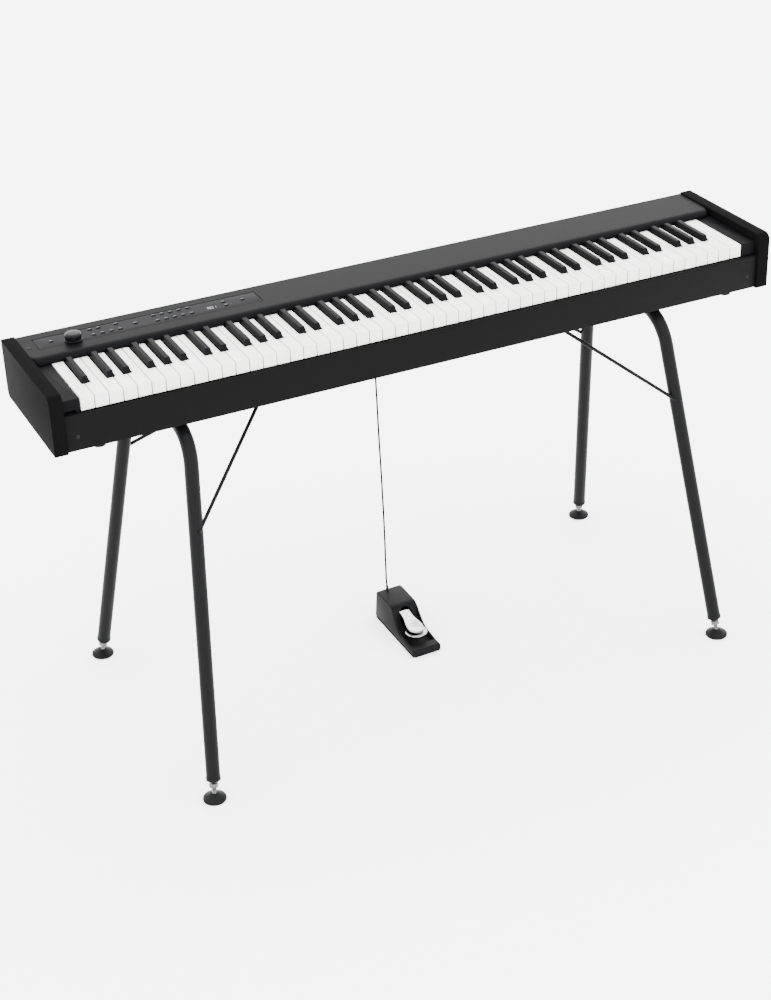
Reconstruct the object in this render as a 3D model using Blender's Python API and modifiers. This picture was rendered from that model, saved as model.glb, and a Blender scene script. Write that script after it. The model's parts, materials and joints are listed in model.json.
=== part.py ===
"""Digital piano on a tubular stand, with its damper pedal.

Metres, +Z up. X runs along the keyboard, the player sits at -Y, and the floor is z = 0.
The origin lies on the floor under the middle of the keyboard.
"""

import math

import bmesh
import bpy
from mathutils import Matrix, Vector

# ---- driving dimensions -------------------------------------------------------------

BODY_WIDTH = 1.327
BODY_DEPTH = 0.252
BODY_TOP = 0.7275  # top of the end panels above the floor
END_HEIGHT = 0.101
END_THICK = 0.0225
END_FRONT_ROUND = 0.013  # at the top of the front edge
END_TOE_ROUND = 0.003  # at the bottom of the front edge
END_REAR_CHAMFER_Y, END_REAR_CHAMFER_Z = 0.006, 0.008
GAP = 0.0004  # between pieces that touch
OVERRUN = 0.010  # how far a cutter passes the surface it opens

KEY_PITCH = 0.0235
WHITE_COUNT = 52
KEY_GAP = 0.0009
KEY_TOP_DROP = 0.0147  # white tops below the top of the end panels
WHITE_HEIGHT = 0.022
KEY_SETBACK = 0.0115  # key fronts behind the front of the end panels
BLACK_SETBACK = 0.046  # black fronts behind the white fronts
BLACK_RISE = 0.0097
BLACK_CAP = 0.087
BLACK_CLEAR = 0.0008  # black width less than a twelfth of the octave
BLACK_NARROWING = 0.0039  # base width less top width
BLACK_SLOPE = 0.0045  # how far the black front leans back
BLACK_LAP = 0.0010  # cap below the white tops
BLACK_INSET = 0.0006  # body inside its cap
PIVOT_SETBACK = 0.026  # pivots in front of the rear
KEY_TAIL = 0.008  # key behind its pivot
COMB_BAR = 0.020  # bar that joins a group of whites
BLACK_BAR = 0.0135  # bar that joins a group of blacks
BLACK_BAR_LOW, BLACK_BAR_HIGH = 0.0012, 0.0044  # above the white tops
BLACK_POST = 0.005

RAIL_SETBACK = 0.0045
RAIL_THICK = 0.005
RAIL_DROP = 0.0377  # rail top below the top of the end panels
RAIL_ROUND = 0.004
PANEL_THICK = 0.0045  # rear panel
PANEL_INSET = 0.0005  # rear panel in front of the end panels' rear
BOARD_THICK = 0.006  # bottom board
UNDERSIDE_RISE = 0.0018  # bottom board above the end panels' lower edge
CHEEK_BELOW = 0.0024  # cheek blocks below the keys
CHEEK_UNDER_COVER = 0.025  # cheek blocks behind the lip

COVER_DROP = 0.003
COVER_THICK = 0.003
LIP_SETBACK = 0.150
LIP_DEPTH = 0.0127
LIP_HEIGHT = 0.0105

BALANCE_HALF = 0.004
BALANCE_CLEAR = 0.0006  # below the keys
STOP_START, STOP_END = 0.010, 0.028  # behind the key fronts
STOP_DROP = 0.0110  # below the keys
BOARD_LEFT, BOARD_LENGTH, BOARD_DEPTH, BOARD_SHEET = 0.141, 0.24, 0.09, 0.0016
BOARD_SETBACK = 0.106

# The control panel, from the cover's left end and the rear.
PANEL_START, PANEL_LENGTH = 0.0230, 0.3881
PANEL_BACK, PANEL_DEPTH = 0.0219, 0.0432
PANEL_RADIUS = 0.003
PANEL_GROOVE = 0.0006
PANEL_DROP = 0.0003  # panel face below the cover's
FLANGE_WIDTH = 0.004
FLANGE_THICK = 0.0012

# Places on the panel are from its left end and its front.
KNOB_PLACE = (0.0590, 0.0081)
KNOB_RADIUS = 0.0147
KNOB_HEIGHT = 0.0142
KNOB_SHAFT = 0.003
KNOB_ROUND = 0.0050
KNOB_LIFT = 0.0004
BUTTON_LENGTH, BUTTON_WIDTH = 0.007, 0.0036
BUTTON_PITCH = 0.01508
BUTTON_RISE = 0.0007
BUTTON_CLEAR = 0.0004
UPPER_ROW, LOWER_ROW, MIDDLE_ROW = 0.0356, 0.0134, 0.0223
SOUND_START, SOUND_SINGLE = 0.0956, 0.1703
PROGRAM_START = 0.2058
STEP_START, STEP_SINGLE = 0.3282, 0.3604
STEP_UPPER, STEP_LOWER, STEP_MIDDLE = 0.0294, 0.0149, 0.0232
POWER_START = 0.0261
WEB_THICK = 0.0010
WEB_CLEAR = 0.0006  # below the panel, room for the travel's upper stop
WEB_MARGIN = 0.001
DISPLAY_PLACE = (0.3030, 0.0178)
DISPLAY_LENGTH, DISPLAY_DEPTH, DISPLAY_THICK = 0.032, 0.014, 0.0012

# The phones recess, from the inside of the left end panel.
PHONES_START = 0.0025
PHONES_WIDTH, PHONES_HEIGHT, PHONES_DEPTH = 0.0200, 0.0052, 0.012

JACK_X, JACK_DROP = 0.012, 0.0725
JACK_NOSE = 0.0055
JACK_PROUD = 0.002
JACK_HALF = 0.008
JACK_BORE = 0.0036
JACK_LENGTH = 0.030
JACK_ROOM = 0.003
JACK_WALL = 0.002

TUBE_RADIUS = 0.012
BEND_RADIUS = 0.075
FRAME_X_TOP, FRAME_X_FLOOR = 0.4495, 0.5147
FRAME_HALF_TOP, FRAME_HALF_FLOOR = 0.1224, 0.2554
# How each frame is set when it is screwed on: turned about the upright, then shifted towards +Y.
FRAME_SET = {"left": (math.radians(2.6), -0.006), "right": (math.radians(-0.7), 0.006)}
PLATE_LENGTH, PLATE_WIDTH, PLATE_THICK = 0.210, 0.060, 0.003
PLATE_ROUND = 0.008
TUBE_END = 0.037  # end of the leg tube above the floor
STUD_RADIUS = 0.004
BORE_RADIUS = 0.0047
STUD_DEPTH = 0.026
BORE_DEPTH = 0.030
FOOT_RADIUS = 0.020
BALL_HEIGHT = 0.008
NUT_RADIUS, NUT_HEIGHT, NUT_THICK = 0.0085, 0.0185, 0.006
BRACE_RADIUS = 0.0028
BRACE_LEG_DROP = 0.1535  # where a brace meets its leg, below the frame's top
BRACE_MEET_X, BRACE_MEET_Y = 0.264, 0.009
BRACE_PAD = 0.014  # half of the run along the underside
BUMPER_INSET, BUMPER_Y = 0.0775, 0.106
BUMPER_RADIUS, BUMPER_HEIGHT, BUMPER_ROUND = 0.011, 0.006, 0.002

PEDAL_YAW = math.radians(1.5)
PEDAL_X, PEDAL_FRONT, PEDAL_REAR = 0.0055, -0.0430, 0.1230
PEDAL_WIDTH = 0.060
PEDAL_HEIGHT = 0.057
PEDAL_PLATE = 0.0100  # floor of the low front
PEDAL_BAR_HEIGHT, PEDAL_BAR_DEPTH = 0.0150, 0.022
WEDGE_FRONT, WEDGE_TOP_FRONT = 0.0280, 0.0560
WEDGE_TOP_REAR = 0.020
SOLE_THICK = 0.003
SOLE_INSET, SOLE_ROUND = 0.001, 0.004
LEVER_PIVOT = (0.085, 0.036)  # (y, z) of the lever's pin
LEVER_SLOT_CLEAR = 0.00375
SLOT_FLOOR, SLOT_ABOVE_PIVOT, SLOT_BEHIND_PIVOT = 0.0155, 0.0095, 0.014
PIN_RADIUS, PIN_INSET, PIN_CLEAR = 0.003, 0.010, 0.001
LEVER_TIP = -0.0170
LEVER_ROOT_HALF, LEVER_PAD_HALF = 0.0100, 0.0175
LEVER_THICK = 0.0050
LEVER_WAIST = 0.0380  # where the neck starts to widen
LEVER_FLARE = 0.0250

RELIEF_BASE_BACK, RELIEF_TIP_BACK = 0.018, 0.013  # in front of the pedal's rear
RELIEF_LOW, RELIEF_HIGH = 0.040, 0.0645
RELIEF_BASE_RADIUS, RELIEF_TIP_RADIUS = 0.0038, 0.0026
PLUG_RADIUS, PLUG_SHAFT = 0.0050, 0.0031
PLUG_LENGTH = 0.034
PLUG_GAP = 0.0023
CORD_RADIUS = 0.00175

# ---- places worked out from them ----------------------------------------------------

HALF_WIDTH = BODY_WIDTH / 2
INNER_HALF = HALF_WIDTH - END_THICK
REACH = INNER_HALF - GAP
FRONT_Y, REAR_Y = -BODY_DEPTH / 2, BODY_DEPTH / 2
END_BOTTOM = BODY_TOP - END_HEIGHT
UNDERSIDE = END_BOTTOM + UNDERSIDE_RISE
INNER_FLOOR = UNDERSIDE + BOARD_THICK + GAP
KEY_FRONT = FRONT_Y + KEY_SETBACK
KEY_TOP = BODY_TOP - KEY_TOP_DROP
KEY_BOTTOM = KEY_TOP - WHITE_HEIGHT
PIVOT_Y = REAR_Y - PIVOT_SETBACK
KEY_END = PIVOT_Y + KEY_TAIL
COMB_BAR_FRONT = KEY_END - COMB_BAR
BLACK_FRONT = KEY_FRONT + BLACK_SETBACK
BLACK_TOP = KEY_TOP + BLACK_RISE
KEYS_LEFT = -WHITE_COUNT * KEY_PITCH / 2
KEYS_RIGHT = -KEYS_LEFT
OCTAVE = 7 * KEY_PITCH
SLOT = OCTAVE / 12
BLACK_WIDTH = SLOT - BLACK_CLEAR
BLACK_TOP_WIDTH = BLACK_WIDTH - BLACK_NARROWING
COVER_TOP = BODY_TOP - COVER_DROP
LIP_FRONT = FRONT_Y + LIP_SETBACK
RAIL_FRONT = FRONT_Y + RAIL_SETBACK
RAIL_REAR = RAIL_FRONT + RAIL_THICK
RAIL_TOP = BODY_TOP - RAIL_DROP
PANEL_REAR_FACE = REAR_Y - PANEL_INSET
PANEL_INNER_FACE = PANEL_REAR_FACE - PANEL_THICK

PANEL_LEFT = -INNER_HALF + PANEL_START
PANEL_RIGHT = PANEL_LEFT + PANEL_LENGTH
PANEL_REAR = REAR_Y - PANEL_BACK
PANEL_FRONT = PANEL_REAR - PANEL_DEPTH
PANEL_BASE = COVER_TOP - COVER_THICK - GAP - FLANGE_THICK
PANEL_FACE = COVER_TOP - PANEL_DROP
WEB_TOP = PANEL_BASE - WEB_CLEAR
PHONES_LEFT = -INNER_HALF + PHONES_START
JACK_Z = BODY_TOP - JACK_DROP
FRAME_TOP = UNDERSIDE - GAP - PLATE_THICK - GAP - TUBE_RADIUS


def on_panel(along, back):
    """A place on the control panel, from its left end and its front, in the world."""
    return PANEL_LEFT + along, PANEL_FRONT + back


SOUND_PLACES = [
    *[on_panel(SOUND_START + i * BUTTON_PITCH, UPPER_ROW) for i in (0, 1, 3)],
    *[on_panel(SOUND_START + i * BUTTON_PITCH, LOWER_ROW) for i in range(4)],
    on_panel(SOUND_SINGLE, MIDDLE_ROW),
]
PROGRAM_PLACES = [
    on_panel(PROGRAM_START + i * BUTTON_PITCH, row) for row in (UPPER_ROW, LOWER_ROW) for i in range(5)
]
STEP_PLACES = [
    on_panel(STEP_START, STEP_UPPER),
    on_panel(STEP_START, STEP_LOWER),
    on_panel(STEP_SINGLE, STEP_MIDDLE),
]
POWER_PLACES = [on_panel(POWER_START, MIDDLE_ROW)]

PEDAL_PLACE = Matrix.Translation((PEDAL_X, 0, 0)) @ Matrix.Rotation(PEDAL_YAW, 4, "Z")
RELIEF_BASE = Vector((0.0, PEDAL_REAR - RELIEF_BASE_BACK, RELIEF_LOW))
RELIEF_TIP = Vector((0.0, PEDAL_REAR - RELIEF_TIP_BACK, RELIEF_HIGH))
PLUG_START = PANEL_REAR_FACE + PLUG_GAP

WHITE_TONES = (0, 2, 4, 5, 7, 9, 11)
BLACK_TONES = (1, 3, 6, 8, 10)
OWN_OCTAVE = 4  # the octave whose keys are pieces of their own
LOW_WHITES = 2 + 7 * (OWN_OCTAVE - 1)

# ---- collections and materials ------------------------------------------------------

for old in list(bpy.data.objects):
    bpy.data.objects.remove(old)

PARTS = bpy.data.collections.new("digital_piano_on_stand")
CUTTERS = bpy.data.collections.new("cutters")
bpy.context.scene.collection.children.link(PARTS)
bpy.context.scene.collection.children.link(CUTTERS)
CUTTERS.hide_render = True

FINISHES = {
    "satin_black_panel": ((0.028, 0.028, 0.029), 0.45, 0.0),
    "satin_black_cover": ((0.045, 0.045, 0.047), 0.38, 0.0),
    "grey_panel": ((0.09, 0.09, 0.093), 0.42, 0.0),
    "white_key": ((0.86, 0.86, 0.84), 0.28, 0.0),
    "black_key": ((0.05, 0.05, 0.052), 0.5, 0.0),
    "black_plastic": ((0.02, 0.02, 0.02), 0.35, 0.0),
    "black_steel": ((0.04, 0.04, 0.042), 0.42, 0.5),
    "chrome": ((0.8, 0.8, 0.8), 0.12, 1.0),
    "rubber": ((0.03, 0.03, 0.03), 0.8, 0.0),
    "circuit_board": ((0.03, 0.12, 0.06), 0.5, 0.0),
    "cord_jacket": ((0.03, 0.03, 0.03), 0.6, 0.0),
    "smoked_window": ((0.03, 0.03, 0.03), 0.1, 0.0),
}


def material(name):
    """The Principled material of this finish, made once."""
    found = bpy.data.materials.get(name)
    if found:
        return found
    colour, roughness, metallic = FINISHES[name]
    made = bpy.data.materials.new(name)
    made.use_nodes = True
    shader = made.node_tree.nodes["Principled BSDF"]
    shader.inputs["Base Color"].default_value = (*colour, 1)
    shader.inputs["Roughness"].default_value = roughness
    shader.inputs["Metallic"].default_value = metallic
    return made


# ---- shape helpers ------------------------------------------------------------------


def placed(name, bm, finish):
    """An object made from a bmesh; without a finish it is a cutter or something joined on."""
    mesh = bpy.data.meshes.new(name)
    bmesh.ops.recalc_face_normals(bm, faces=bm.faces)
    bm.to_mesh(mesh)
    bm.free()
    obj = bpy.data.objects.new(name, mesh)
    if finish:
        PARTS.objects.link(obj)
        mesh.materials.append(material(finish))
        mesh.shade_smooth()
        mesh.set_sharp_from_angle(angle=math.radians(35))
    else:
        CUTTERS.objects.link(obj)
        obj.hide_render = True
        obj.display_type = "WIRE"
    return obj


def add_block(bm, low, high):
    """A box between two corners. Gives its vertices."""
    low, high = Vector(low), Vector(high)
    size = Matrix.Diagonal((*(high - low), 1))
    place = Matrix.Translation((low + high) / 2) @ size
    return bmesh.ops.create_cube(bm, size=1, matrix=place)["verts"]


def block(name, low, high, finish=None):
    bm = bmesh.new()
    add_block(bm, low, high)
    return placed(name, bm, finish)


def rod(name, start, end, radius, finish=None, sides=24, end_radius=None):
    """A round or many-sided bar between two points."""
    start, end = Vector(start), Vector(end)
    along = end - start
    turn = along.to_track_quat("Z", "Y").to_matrix().to_4x4()
    bm = bmesh.new()
    bmesh.ops.create_cone(
        bm,
        cap_ends=True,
        segments=sides,
        radius1=radius,
        radius2=radius if end_radius is None else end_radius,
        depth=along.length,
        matrix=Matrix.Translation((start + end) / 2) @ turn,
    )
    return placed(name, bm, finish)


def meshed(curve_object, finish):
    """The curve object's solid as a mesh object with its caps welded on."""
    PARTS.objects.link(curve_object)
    bpy.context.view_layer.update()
    graph = bpy.context.evaluated_depsgraph_get()
    mesh = bpy.data.meshes.new_from_object(curve_object.evaluated_get(graph))
    name, world = curve_object.name, curve_object.matrix_world.copy()
    bpy.data.objects.remove(curve_object)
    bm = bmesh.new()
    bm.from_mesh(mesh)
    bpy.data.meshes.remove(mesh)
    bm.transform(world)
    bmesh.ops.remove_doubles(bm, verts=bm.verts, dist=1e-6)
    return placed(name, bm, finish)


def tube(name, points, radius, finish=None, resolution=4):
    """A round bar bent along the points."""
    curve = bpy.data.curves.new(name, "CURVE")
    curve.dimensions = "3D"
    curve.bevel_depth = radius
    curve.bevel_resolution = resolution
    curve.use_fill_caps = True
    spline = curve.splines.new("POLY")
    spline.points.add(len(points) - 1)
    for point, place in zip(spline.points, points):
        point.co = (*place, 1)
    return meshed(bpy.data.objects.new(name, curve), finish)


# Each matrix turns a flat outline's own axes to the world's and its extrusion to the named axis.
FACING = {
    "x": Matrix(((0, 0, 1, 0), (1, 0, 0, 0), (0, 1, 0, 0), (0, 0, 0, 1))),
    "z": Matrix.Identity(4),
}


def prism(name, outline, axis, low, high, finish=None):
    """A flat outline, (y, z) for axis x and (x, y) for axis z, extruded between low and high."""
    curve = bpy.data.curves.new(name, "CURVE")
    curve.dimensions = "2D"
    curve.fill_mode = "BOTH"
    curve.extrude = (high - low) / 2
    spline = curve.splines.new("POLY")
    spline.points.add(len(outline) - 1)
    for point, (u, v) in zip(spline.points, outline):
        point.co = (u, v, 0, 1)
    spline.use_cyclic_u = True
    obj = bpy.data.objects.new(name, curve)
    obj.matrix_world = FACING[axis] @ Matrix.Translation((0, 0, (low + high) / 2))
    return meshed(obj, finish)


def turned(name, profile, centre, finish=None, steps=24):
    """A profile of (radius, height) points, from top to bottom, turned about the upright."""
    bm = bmesh.new()
    verts = [bm.verts.new((radius, 0, height)) for radius, height in profile]
    for first, second in zip(verts, verts[1:]):
        bm.edges.new((first, second))
    obj = placed(name, bm, finish)
    obj.location = centre
    screw = obj.modifiers.new("turn", "SCREW")
    screw.steps = screw.render_steps = steps
    screw.use_merge_vertices = True
    screw.merge_threshold = 1e-5
    return obj


def arc(centre, radius, start, end, steps):
    """Points on an arc of a circle, or of an ellipse where radius is a pair; angles in degrees."""
    wide, high = radius if isinstance(radius, tuple) else (radius, radius)
    turns = [math.radians(start + (end - start) * i / steps) for i in range(steps + 1)]
    return [(centre[0] + wide * math.cos(a), centre[1] + high * math.sin(a)) for a in turns]


def rounded_box(left, right, front, rear, radius, steps=3):
    """Outline of a rectangle with round corners."""
    corners = (
        ((left + radius, front + radius), 180),
        ((right - radius, front + radius), 270),
        ((right - radius, rear - radius), 0),
        ((left + radius, rear - radius), 90),
    )
    return [p for centre, start in corners for p in arc(centre, radius, start, start + 90, steps)]


def cut(target, *cutters):
    for cutter in cutters:
        hole = target.modifiers.new(cutter.name, "BOOLEAN")
        hole.operation = "DIFFERENCE"
        hole.object = cutter


def join(target, *others):
    for other in others:
        union = target.modifiers.new(other.name, "BOOLEAN")
        union.operation = "UNION"
        union.object = other


# ---- body ---------------------------------------------------------------------------


def end_panels():
    """Thick slabs at both ends, each with a big radius at the top of its front edge."""
    toe = END_TOE_ROUND
    outline = [
        *arc((FRONT_Y + toe, END_BOTTOM + toe), toe, 270, 180, 3),
        *arc((FRONT_Y + END_FRONT_ROUND, BODY_TOP - END_FRONT_ROUND), END_FRONT_ROUND, 180, 90, 6),
        (REAR_Y, BODY_TOP),
        (REAR_Y, END_BOTTOM + END_REAR_CHAMFER_Z),
        (REAR_Y - END_REAR_CHAMFER_Y, END_BOTTOM),
    ]
    prism("left_end_panel", outline, "x", -HALF_WIDTH, -INNER_HALF, "satin_black_panel")
    prism("right_end_panel", outline, "x", INNER_HALF, HALF_WIDTH, "satin_black_panel")


def shell_boards():
    """Front rail, bottom board and rear panel between the end panels."""
    rail = [
        (RAIL_FRONT, UNDERSIDE),
        *arc((RAIL_FRONT + RAIL_ROUND, RAIL_TOP - RAIL_ROUND), RAIL_ROUND, 180, 90, 4),
        (RAIL_REAR, RAIL_TOP),
        (RAIL_REAR, UNDERSIDE),
    ]
    prism("front_rail", rail, "x", -REACH, REACH, "satin_black_panel")
    block(
        "bottom_board",
        (-REACH, RAIL_REAR + GAP, UNDERSIDE),
        (REACH, PANEL_INNER_FACE - GAP, UNDERSIDE + BOARD_THICK),
        "satin_black_panel",
    )
    rear = block(
        "rear_panel",
        (-REACH, PANEL_INNER_FACE, UNDERSIDE),
        (REACH, PANEL_REAR_FACE, COVER_TOP - COVER_THICK - GAP),
        "satin_black_panel",
    )
    centre = Vector((JACK_X, PANEL_INNER_FACE, JACK_Z))
    along = Vector((0, 2 * PANEL_THICK, 0))
    cut(rear, rod("jack_hole", centre - along, centre + along, JACK_NOSE + GAP))


def top_cover():
    """Sheet over the rear of the keys, rolled down at its front, open round the control panel."""
    lip = (LIP_FRONT + LIP_DEPTH, COVER_TOP - LIP_HEIGHT)
    inner = (LIP_DEPTH - COVER_THICK, LIP_HEIGHT - COVER_THICK)
    outline = [
        *arc(lip, (LIP_DEPTH, LIP_HEIGHT), 180, 90, 6),
        (PANEL_REAR_FACE, COVER_TOP),
        (PANEL_REAR_FACE, COVER_TOP - COVER_THICK),
        *arc(lip, inner, 90, 180, 5),
    ]
    cover = prism("top_cover", outline, "x", -REACH, REACH, "satin_black_cover")
    groove = PANEL_GROOVE
    opening = rounded_box(
        PANEL_LEFT - groove,
        PANEL_RIGHT + groove,
        PANEL_FRONT - groove,
        PANEL_REAR + groove,
        PANEL_RADIUS + groove,
    )
    cut(cover, prism("panel_opening", opening, "z", COVER_TOP - OVERRUN, COVER_TOP + OVERRUN))


def cheek_blocks():
    """Solid fillers between the keys and the end panels. The left one has the phones recess."""
    low = KEY_BOTTOM - CHEEK_BELOW
    left, right = -REACH, KEYS_LEFT - KEY_GAP
    rear = LIP_FRONT + LIP_DEPTH + CHEEK_UNDER_COVER
    block_left = block(
        "left_cheek_block", (left, KEY_FRONT, low), (right, rear, KEY_TOP), "satin_black_panel"
    )
    recess = block(
        "phones_recess",
        (PHONES_LEFT, KEY_FRONT - OVERRUN, RAIL_TOP),
        (PHONES_LEFT + PHONES_WIDTH, KEY_FRONT + PHONES_DEPTH, RAIL_TOP + PHONES_HEIGHT),
    )
    cut(block_left, recess)
    block(
        "right_cheek_block", (-right, KEY_FRONT, low), (-left, rear, KEY_TOP), "satin_black_panel"
    )


def inner_parts():
    """Rails that carry the keys, the main board and the pedal's jack."""
    balance = block(
        "balance_rail",
        (KEYS_LEFT, PIVOT_Y - BALANCE_HALF, INNER_FLOOR),
        (KEYS_RIGHT, PIVOT_Y + BALANCE_HALF, KEY_BOTTOM - BALANCE_CLEAR),
        "black_steel",
    )
    room = JACK_HALF + JACK_ROOM
    arch = block(
        "jack_arch",
        (JACK_X - room, PIVOT_Y - OVERRUN, INNER_FLOOR - OVERRUN),
        (JACK_X + room, PIVOT_Y + OVERRUN, JACK_Z + room),
    )
    cut(balance, arch)
    block(
        "key_stop_rail",
        (KEYS_LEFT, KEY_FRONT + STOP_START, INNER_FLOOR),
        (KEYS_RIGHT, KEY_FRONT + STOP_END, KEY_BOTTOM - STOP_DROP),
        "black_steel",
    )
    board_x, board_y = -INNER_HALF + BOARD_LEFT, FRONT_Y + BOARD_SETBACK
    block(
        "main_board",
        (board_x, board_y, INNER_FLOOR),
        (board_x + BOARD_LENGTH, board_y + BOARD_DEPTH, INNER_FLOOR + BOARD_SHEET),
        "circuit_board",
    )

    start = Vector((JACK_X, PANEL_INNER_FACE - GAP, JACK_Z))
    jack = block(
        "pedal_jack",
        start - Vector((JACK_HALF, JACK_LENGTH, JACK_HALF)),
        start + Vector((JACK_HALF, 0, JACK_HALF)),
        "black_plastic",
    )
    end = Vector((JACK_X, PANEL_REAR_FACE + JACK_PROUD, JACK_Z))
    join(jack, rod("jack_nose", start - Vector((0, JACK_WALL, 0)), end, JACK_NOSE))
    bore_end = start - Vector((0, JACK_LENGTH - JACK_WALL, 0))
    bore_start = end + Vector((0, OVERRUN, 0))
    cut(jack, rod("jack_bore", bore_end, bore_start, JACK_BORE, sides=16))


# ---- controls -----------------------------------------------------------------------

def at_places(name, places, half_x, half_y, low, high):
    """Separate boxes at these places in one mesh."""
    bm = bmesh.new()
    for x, y in places:
        add_block(bm, (x - half_x, y - half_y, low), (x + half_x, y + half_y, high))
    return placed(name, bm, None)


def control_panel():
    """Grey plate in the cover's opening, flanged below, with holes for knob and buttons."""
    plate = rounded_box(PANEL_LEFT, PANEL_RIGHT, PANEL_FRONT, PANEL_REAR, PANEL_RADIUS)
    panel = prism(
        "control_panel", plate, "z", PANEL_BASE + FLANGE_THICK / 4, PANEL_FACE, "grey_panel"
    )
    flange = rounded_box(
        PANEL_LEFT - FLANGE_WIDTH,
        PANEL_RIGHT + FLANGE_WIDTH,
        PANEL_FRONT - FLANGE_WIDTH,
        PANEL_REAR + FLANGE_WIDTH,
        PANEL_RADIUS + FLANGE_WIDTH,
    )
    join(panel, prism("panel_flange", flange, "z", PANEL_BASE, PANEL_BASE + FLANGE_THICK))
    half_x, half_y = BUTTON_LENGTH / 2 + BUTTON_CLEAR, BUTTON_WIDTH / 2 + BUTTON_CLEAR
    places = SOUND_PLACES + PROGRAM_PLACES + STEP_PLACES + POWER_PLACES
    low, high = PANEL_BASE - OVERRUN, COVER_TOP + OVERRUN
    holes = at_places("button_holes", places, half_x, half_y, low, high)
    knob_x, knob_y = on_panel(*KNOB_PLACE)
    shaft = rod("knob_hole", (knob_x, knob_y, low), (knob_x, knob_y, high), KNOB_SHAFT + GAP)
    x, y = on_panel(*DISPLAY_PLACE)
    half_x, half_y = DISPLAY_LENGTH / 2, DISPLAY_DEPTH / 2
    depth = PANEL_FACE - DISPLAY_THICK
    pocket = at_places("display_pocket", [(x, y)], half_x + GAP, half_y + GAP, depth - GAP, high)
    cut(panel, holes, shaft, pocket)
    block(
        "display_window",
        (x - half_x, y - half_y, depth),
        (x + half_x, y + half_y, PANEL_FACE),
        "smoked_window",
    )


def volume_knob():
    """Black knob with a rounded top, on a shaft that passes through the panel."""
    base = COVER_TOP + KNOB_LIFT
    edge = (KNOB_RADIUS - KNOB_ROUND, KNOB_HEIGHT - KNOB_ROUND)
    profile = [
        (0, KNOB_HEIGHT),
        (KNOB_RADIUS / 2, KNOB_HEIGHT - 0.0002),
        *arc(edge, (KNOB_ROUND, 0.9 * KNOB_ROUND), 75, 0, 4),
        (KNOB_RADIUS, 0.0006),
        (KNOB_RADIUS - 0.0006, 0),
        (KNOB_SHAFT, 0),
        (KNOB_SHAFT, PANEL_BASE - 0.0030 - base),
        (0, PANEL_BASE - 0.0030 - base),
    ]
    turned("volume_knob", profile, (*on_panel(*KNOB_PLACE), base), "black_plastic", steps=32)


def button_group(name, places):
    """Buttons standing on one web under the panel."""
    half_x, half_y = BUTTON_LENGTH / 2, BUTTON_WIDTH / 2
    xs, ys = [x for x, _ in places], [y for _, y in places]
    web = block(
        name,
        (min(xs) - half_x - WEB_MARGIN, min(ys) - half_y - WEB_MARGIN, WEB_TOP - WEB_THICK),
        (max(xs) + half_x + WEB_MARGIN, max(ys) + half_y + WEB_MARGIN, WEB_TOP),
        "black_plastic",
    )
    top = COVER_TOP + BUTTON_RISE
    join(web, at_places(name + "_caps", places, half_x, half_y, WEB_TOP - WEB_THICK / 2, top))


# ---- keys ---------------------------------------------------------------------------


def white_edges(index):
    """Left and right edges of a white key: at its front, then beside the black keys."""
    octave, letter = divmod(index + 5, 7)
    start = KEYS_LEFT + (octave * 7 - 5) * KEY_PITCH
    left = KEYS_LEFT + index * KEY_PITCH
    right = left + KEY_PITCH
    black_left = letter not in (0, 3) and index > 0
    black_right = letter not in (2, 6) and index < WHITE_COUNT - 1
    tone = WHITE_TONES[letter]
    rear_left = start + tone * SLOT if black_left else left
    rear_right = start + (tone + 1) * SLOT if black_right else right
    half = KEY_GAP / 2
    return left + half, right - half, rear_left + half, rear_right - half


def white_keys(name, indexes):
    """One white key, or several joined by a bar behind the blacks, as one flat outline."""
    notch = BLACK_FRONT - KEY_GAP
    joined = len(indexes) > 1
    back = COMB_BAR_FRONT if joined else KEY_END
    outline = []
    for index in indexes:
        left, right, rear_left, rear_right = white_edges(index)
        if rear_left > left:
            outline += [(rear_left, back), (rear_left, notch), (left, notch)]
        else:
            outline += [(left, back)]
        outline += [(left, KEY_FRONT), (right, KEY_FRONT)]
        if rear_right < right:
            outline += [(right, notch), (rear_right, notch), (rear_right, back)]
        else:
            outline += [(right, back)]
    if joined:
        outline = [(outline[0][0], KEY_END), *outline[1:-1], (outline[-1][0], KEY_END)]
    prism(name, outline, "z", KEY_BOTTOM, KEY_TOP, "white_key")


def black_centre(octave, tone):
    return KEYS_LEFT + (octave * 7 - 5) * KEY_PITCH + (tone + 0.5) * SLOT


def add_black_cap(bm, x):
    """The cap: narrower at its top, with a front that leans back."""
    half = BLACK_WIDTH / 2
    rear = BLACK_FRONT + BLACK_CAP
    low = KEY_TOP - BLACK_LAP
    verts = add_block(bm, (x - half, BLACK_FRONT, low), (x + half, rear, BLACK_TOP))
    for vert in verts:
        if vert.co.z > KEY_TOP:
            vert.co.x = x + (vert.co.x - x) * BLACK_TOP_WIDTH / BLACK_WIDTH
            if vert.co.y < (BLACK_FRONT + rear) / 2:
                vert.co.y += BLACK_SLOPE


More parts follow.
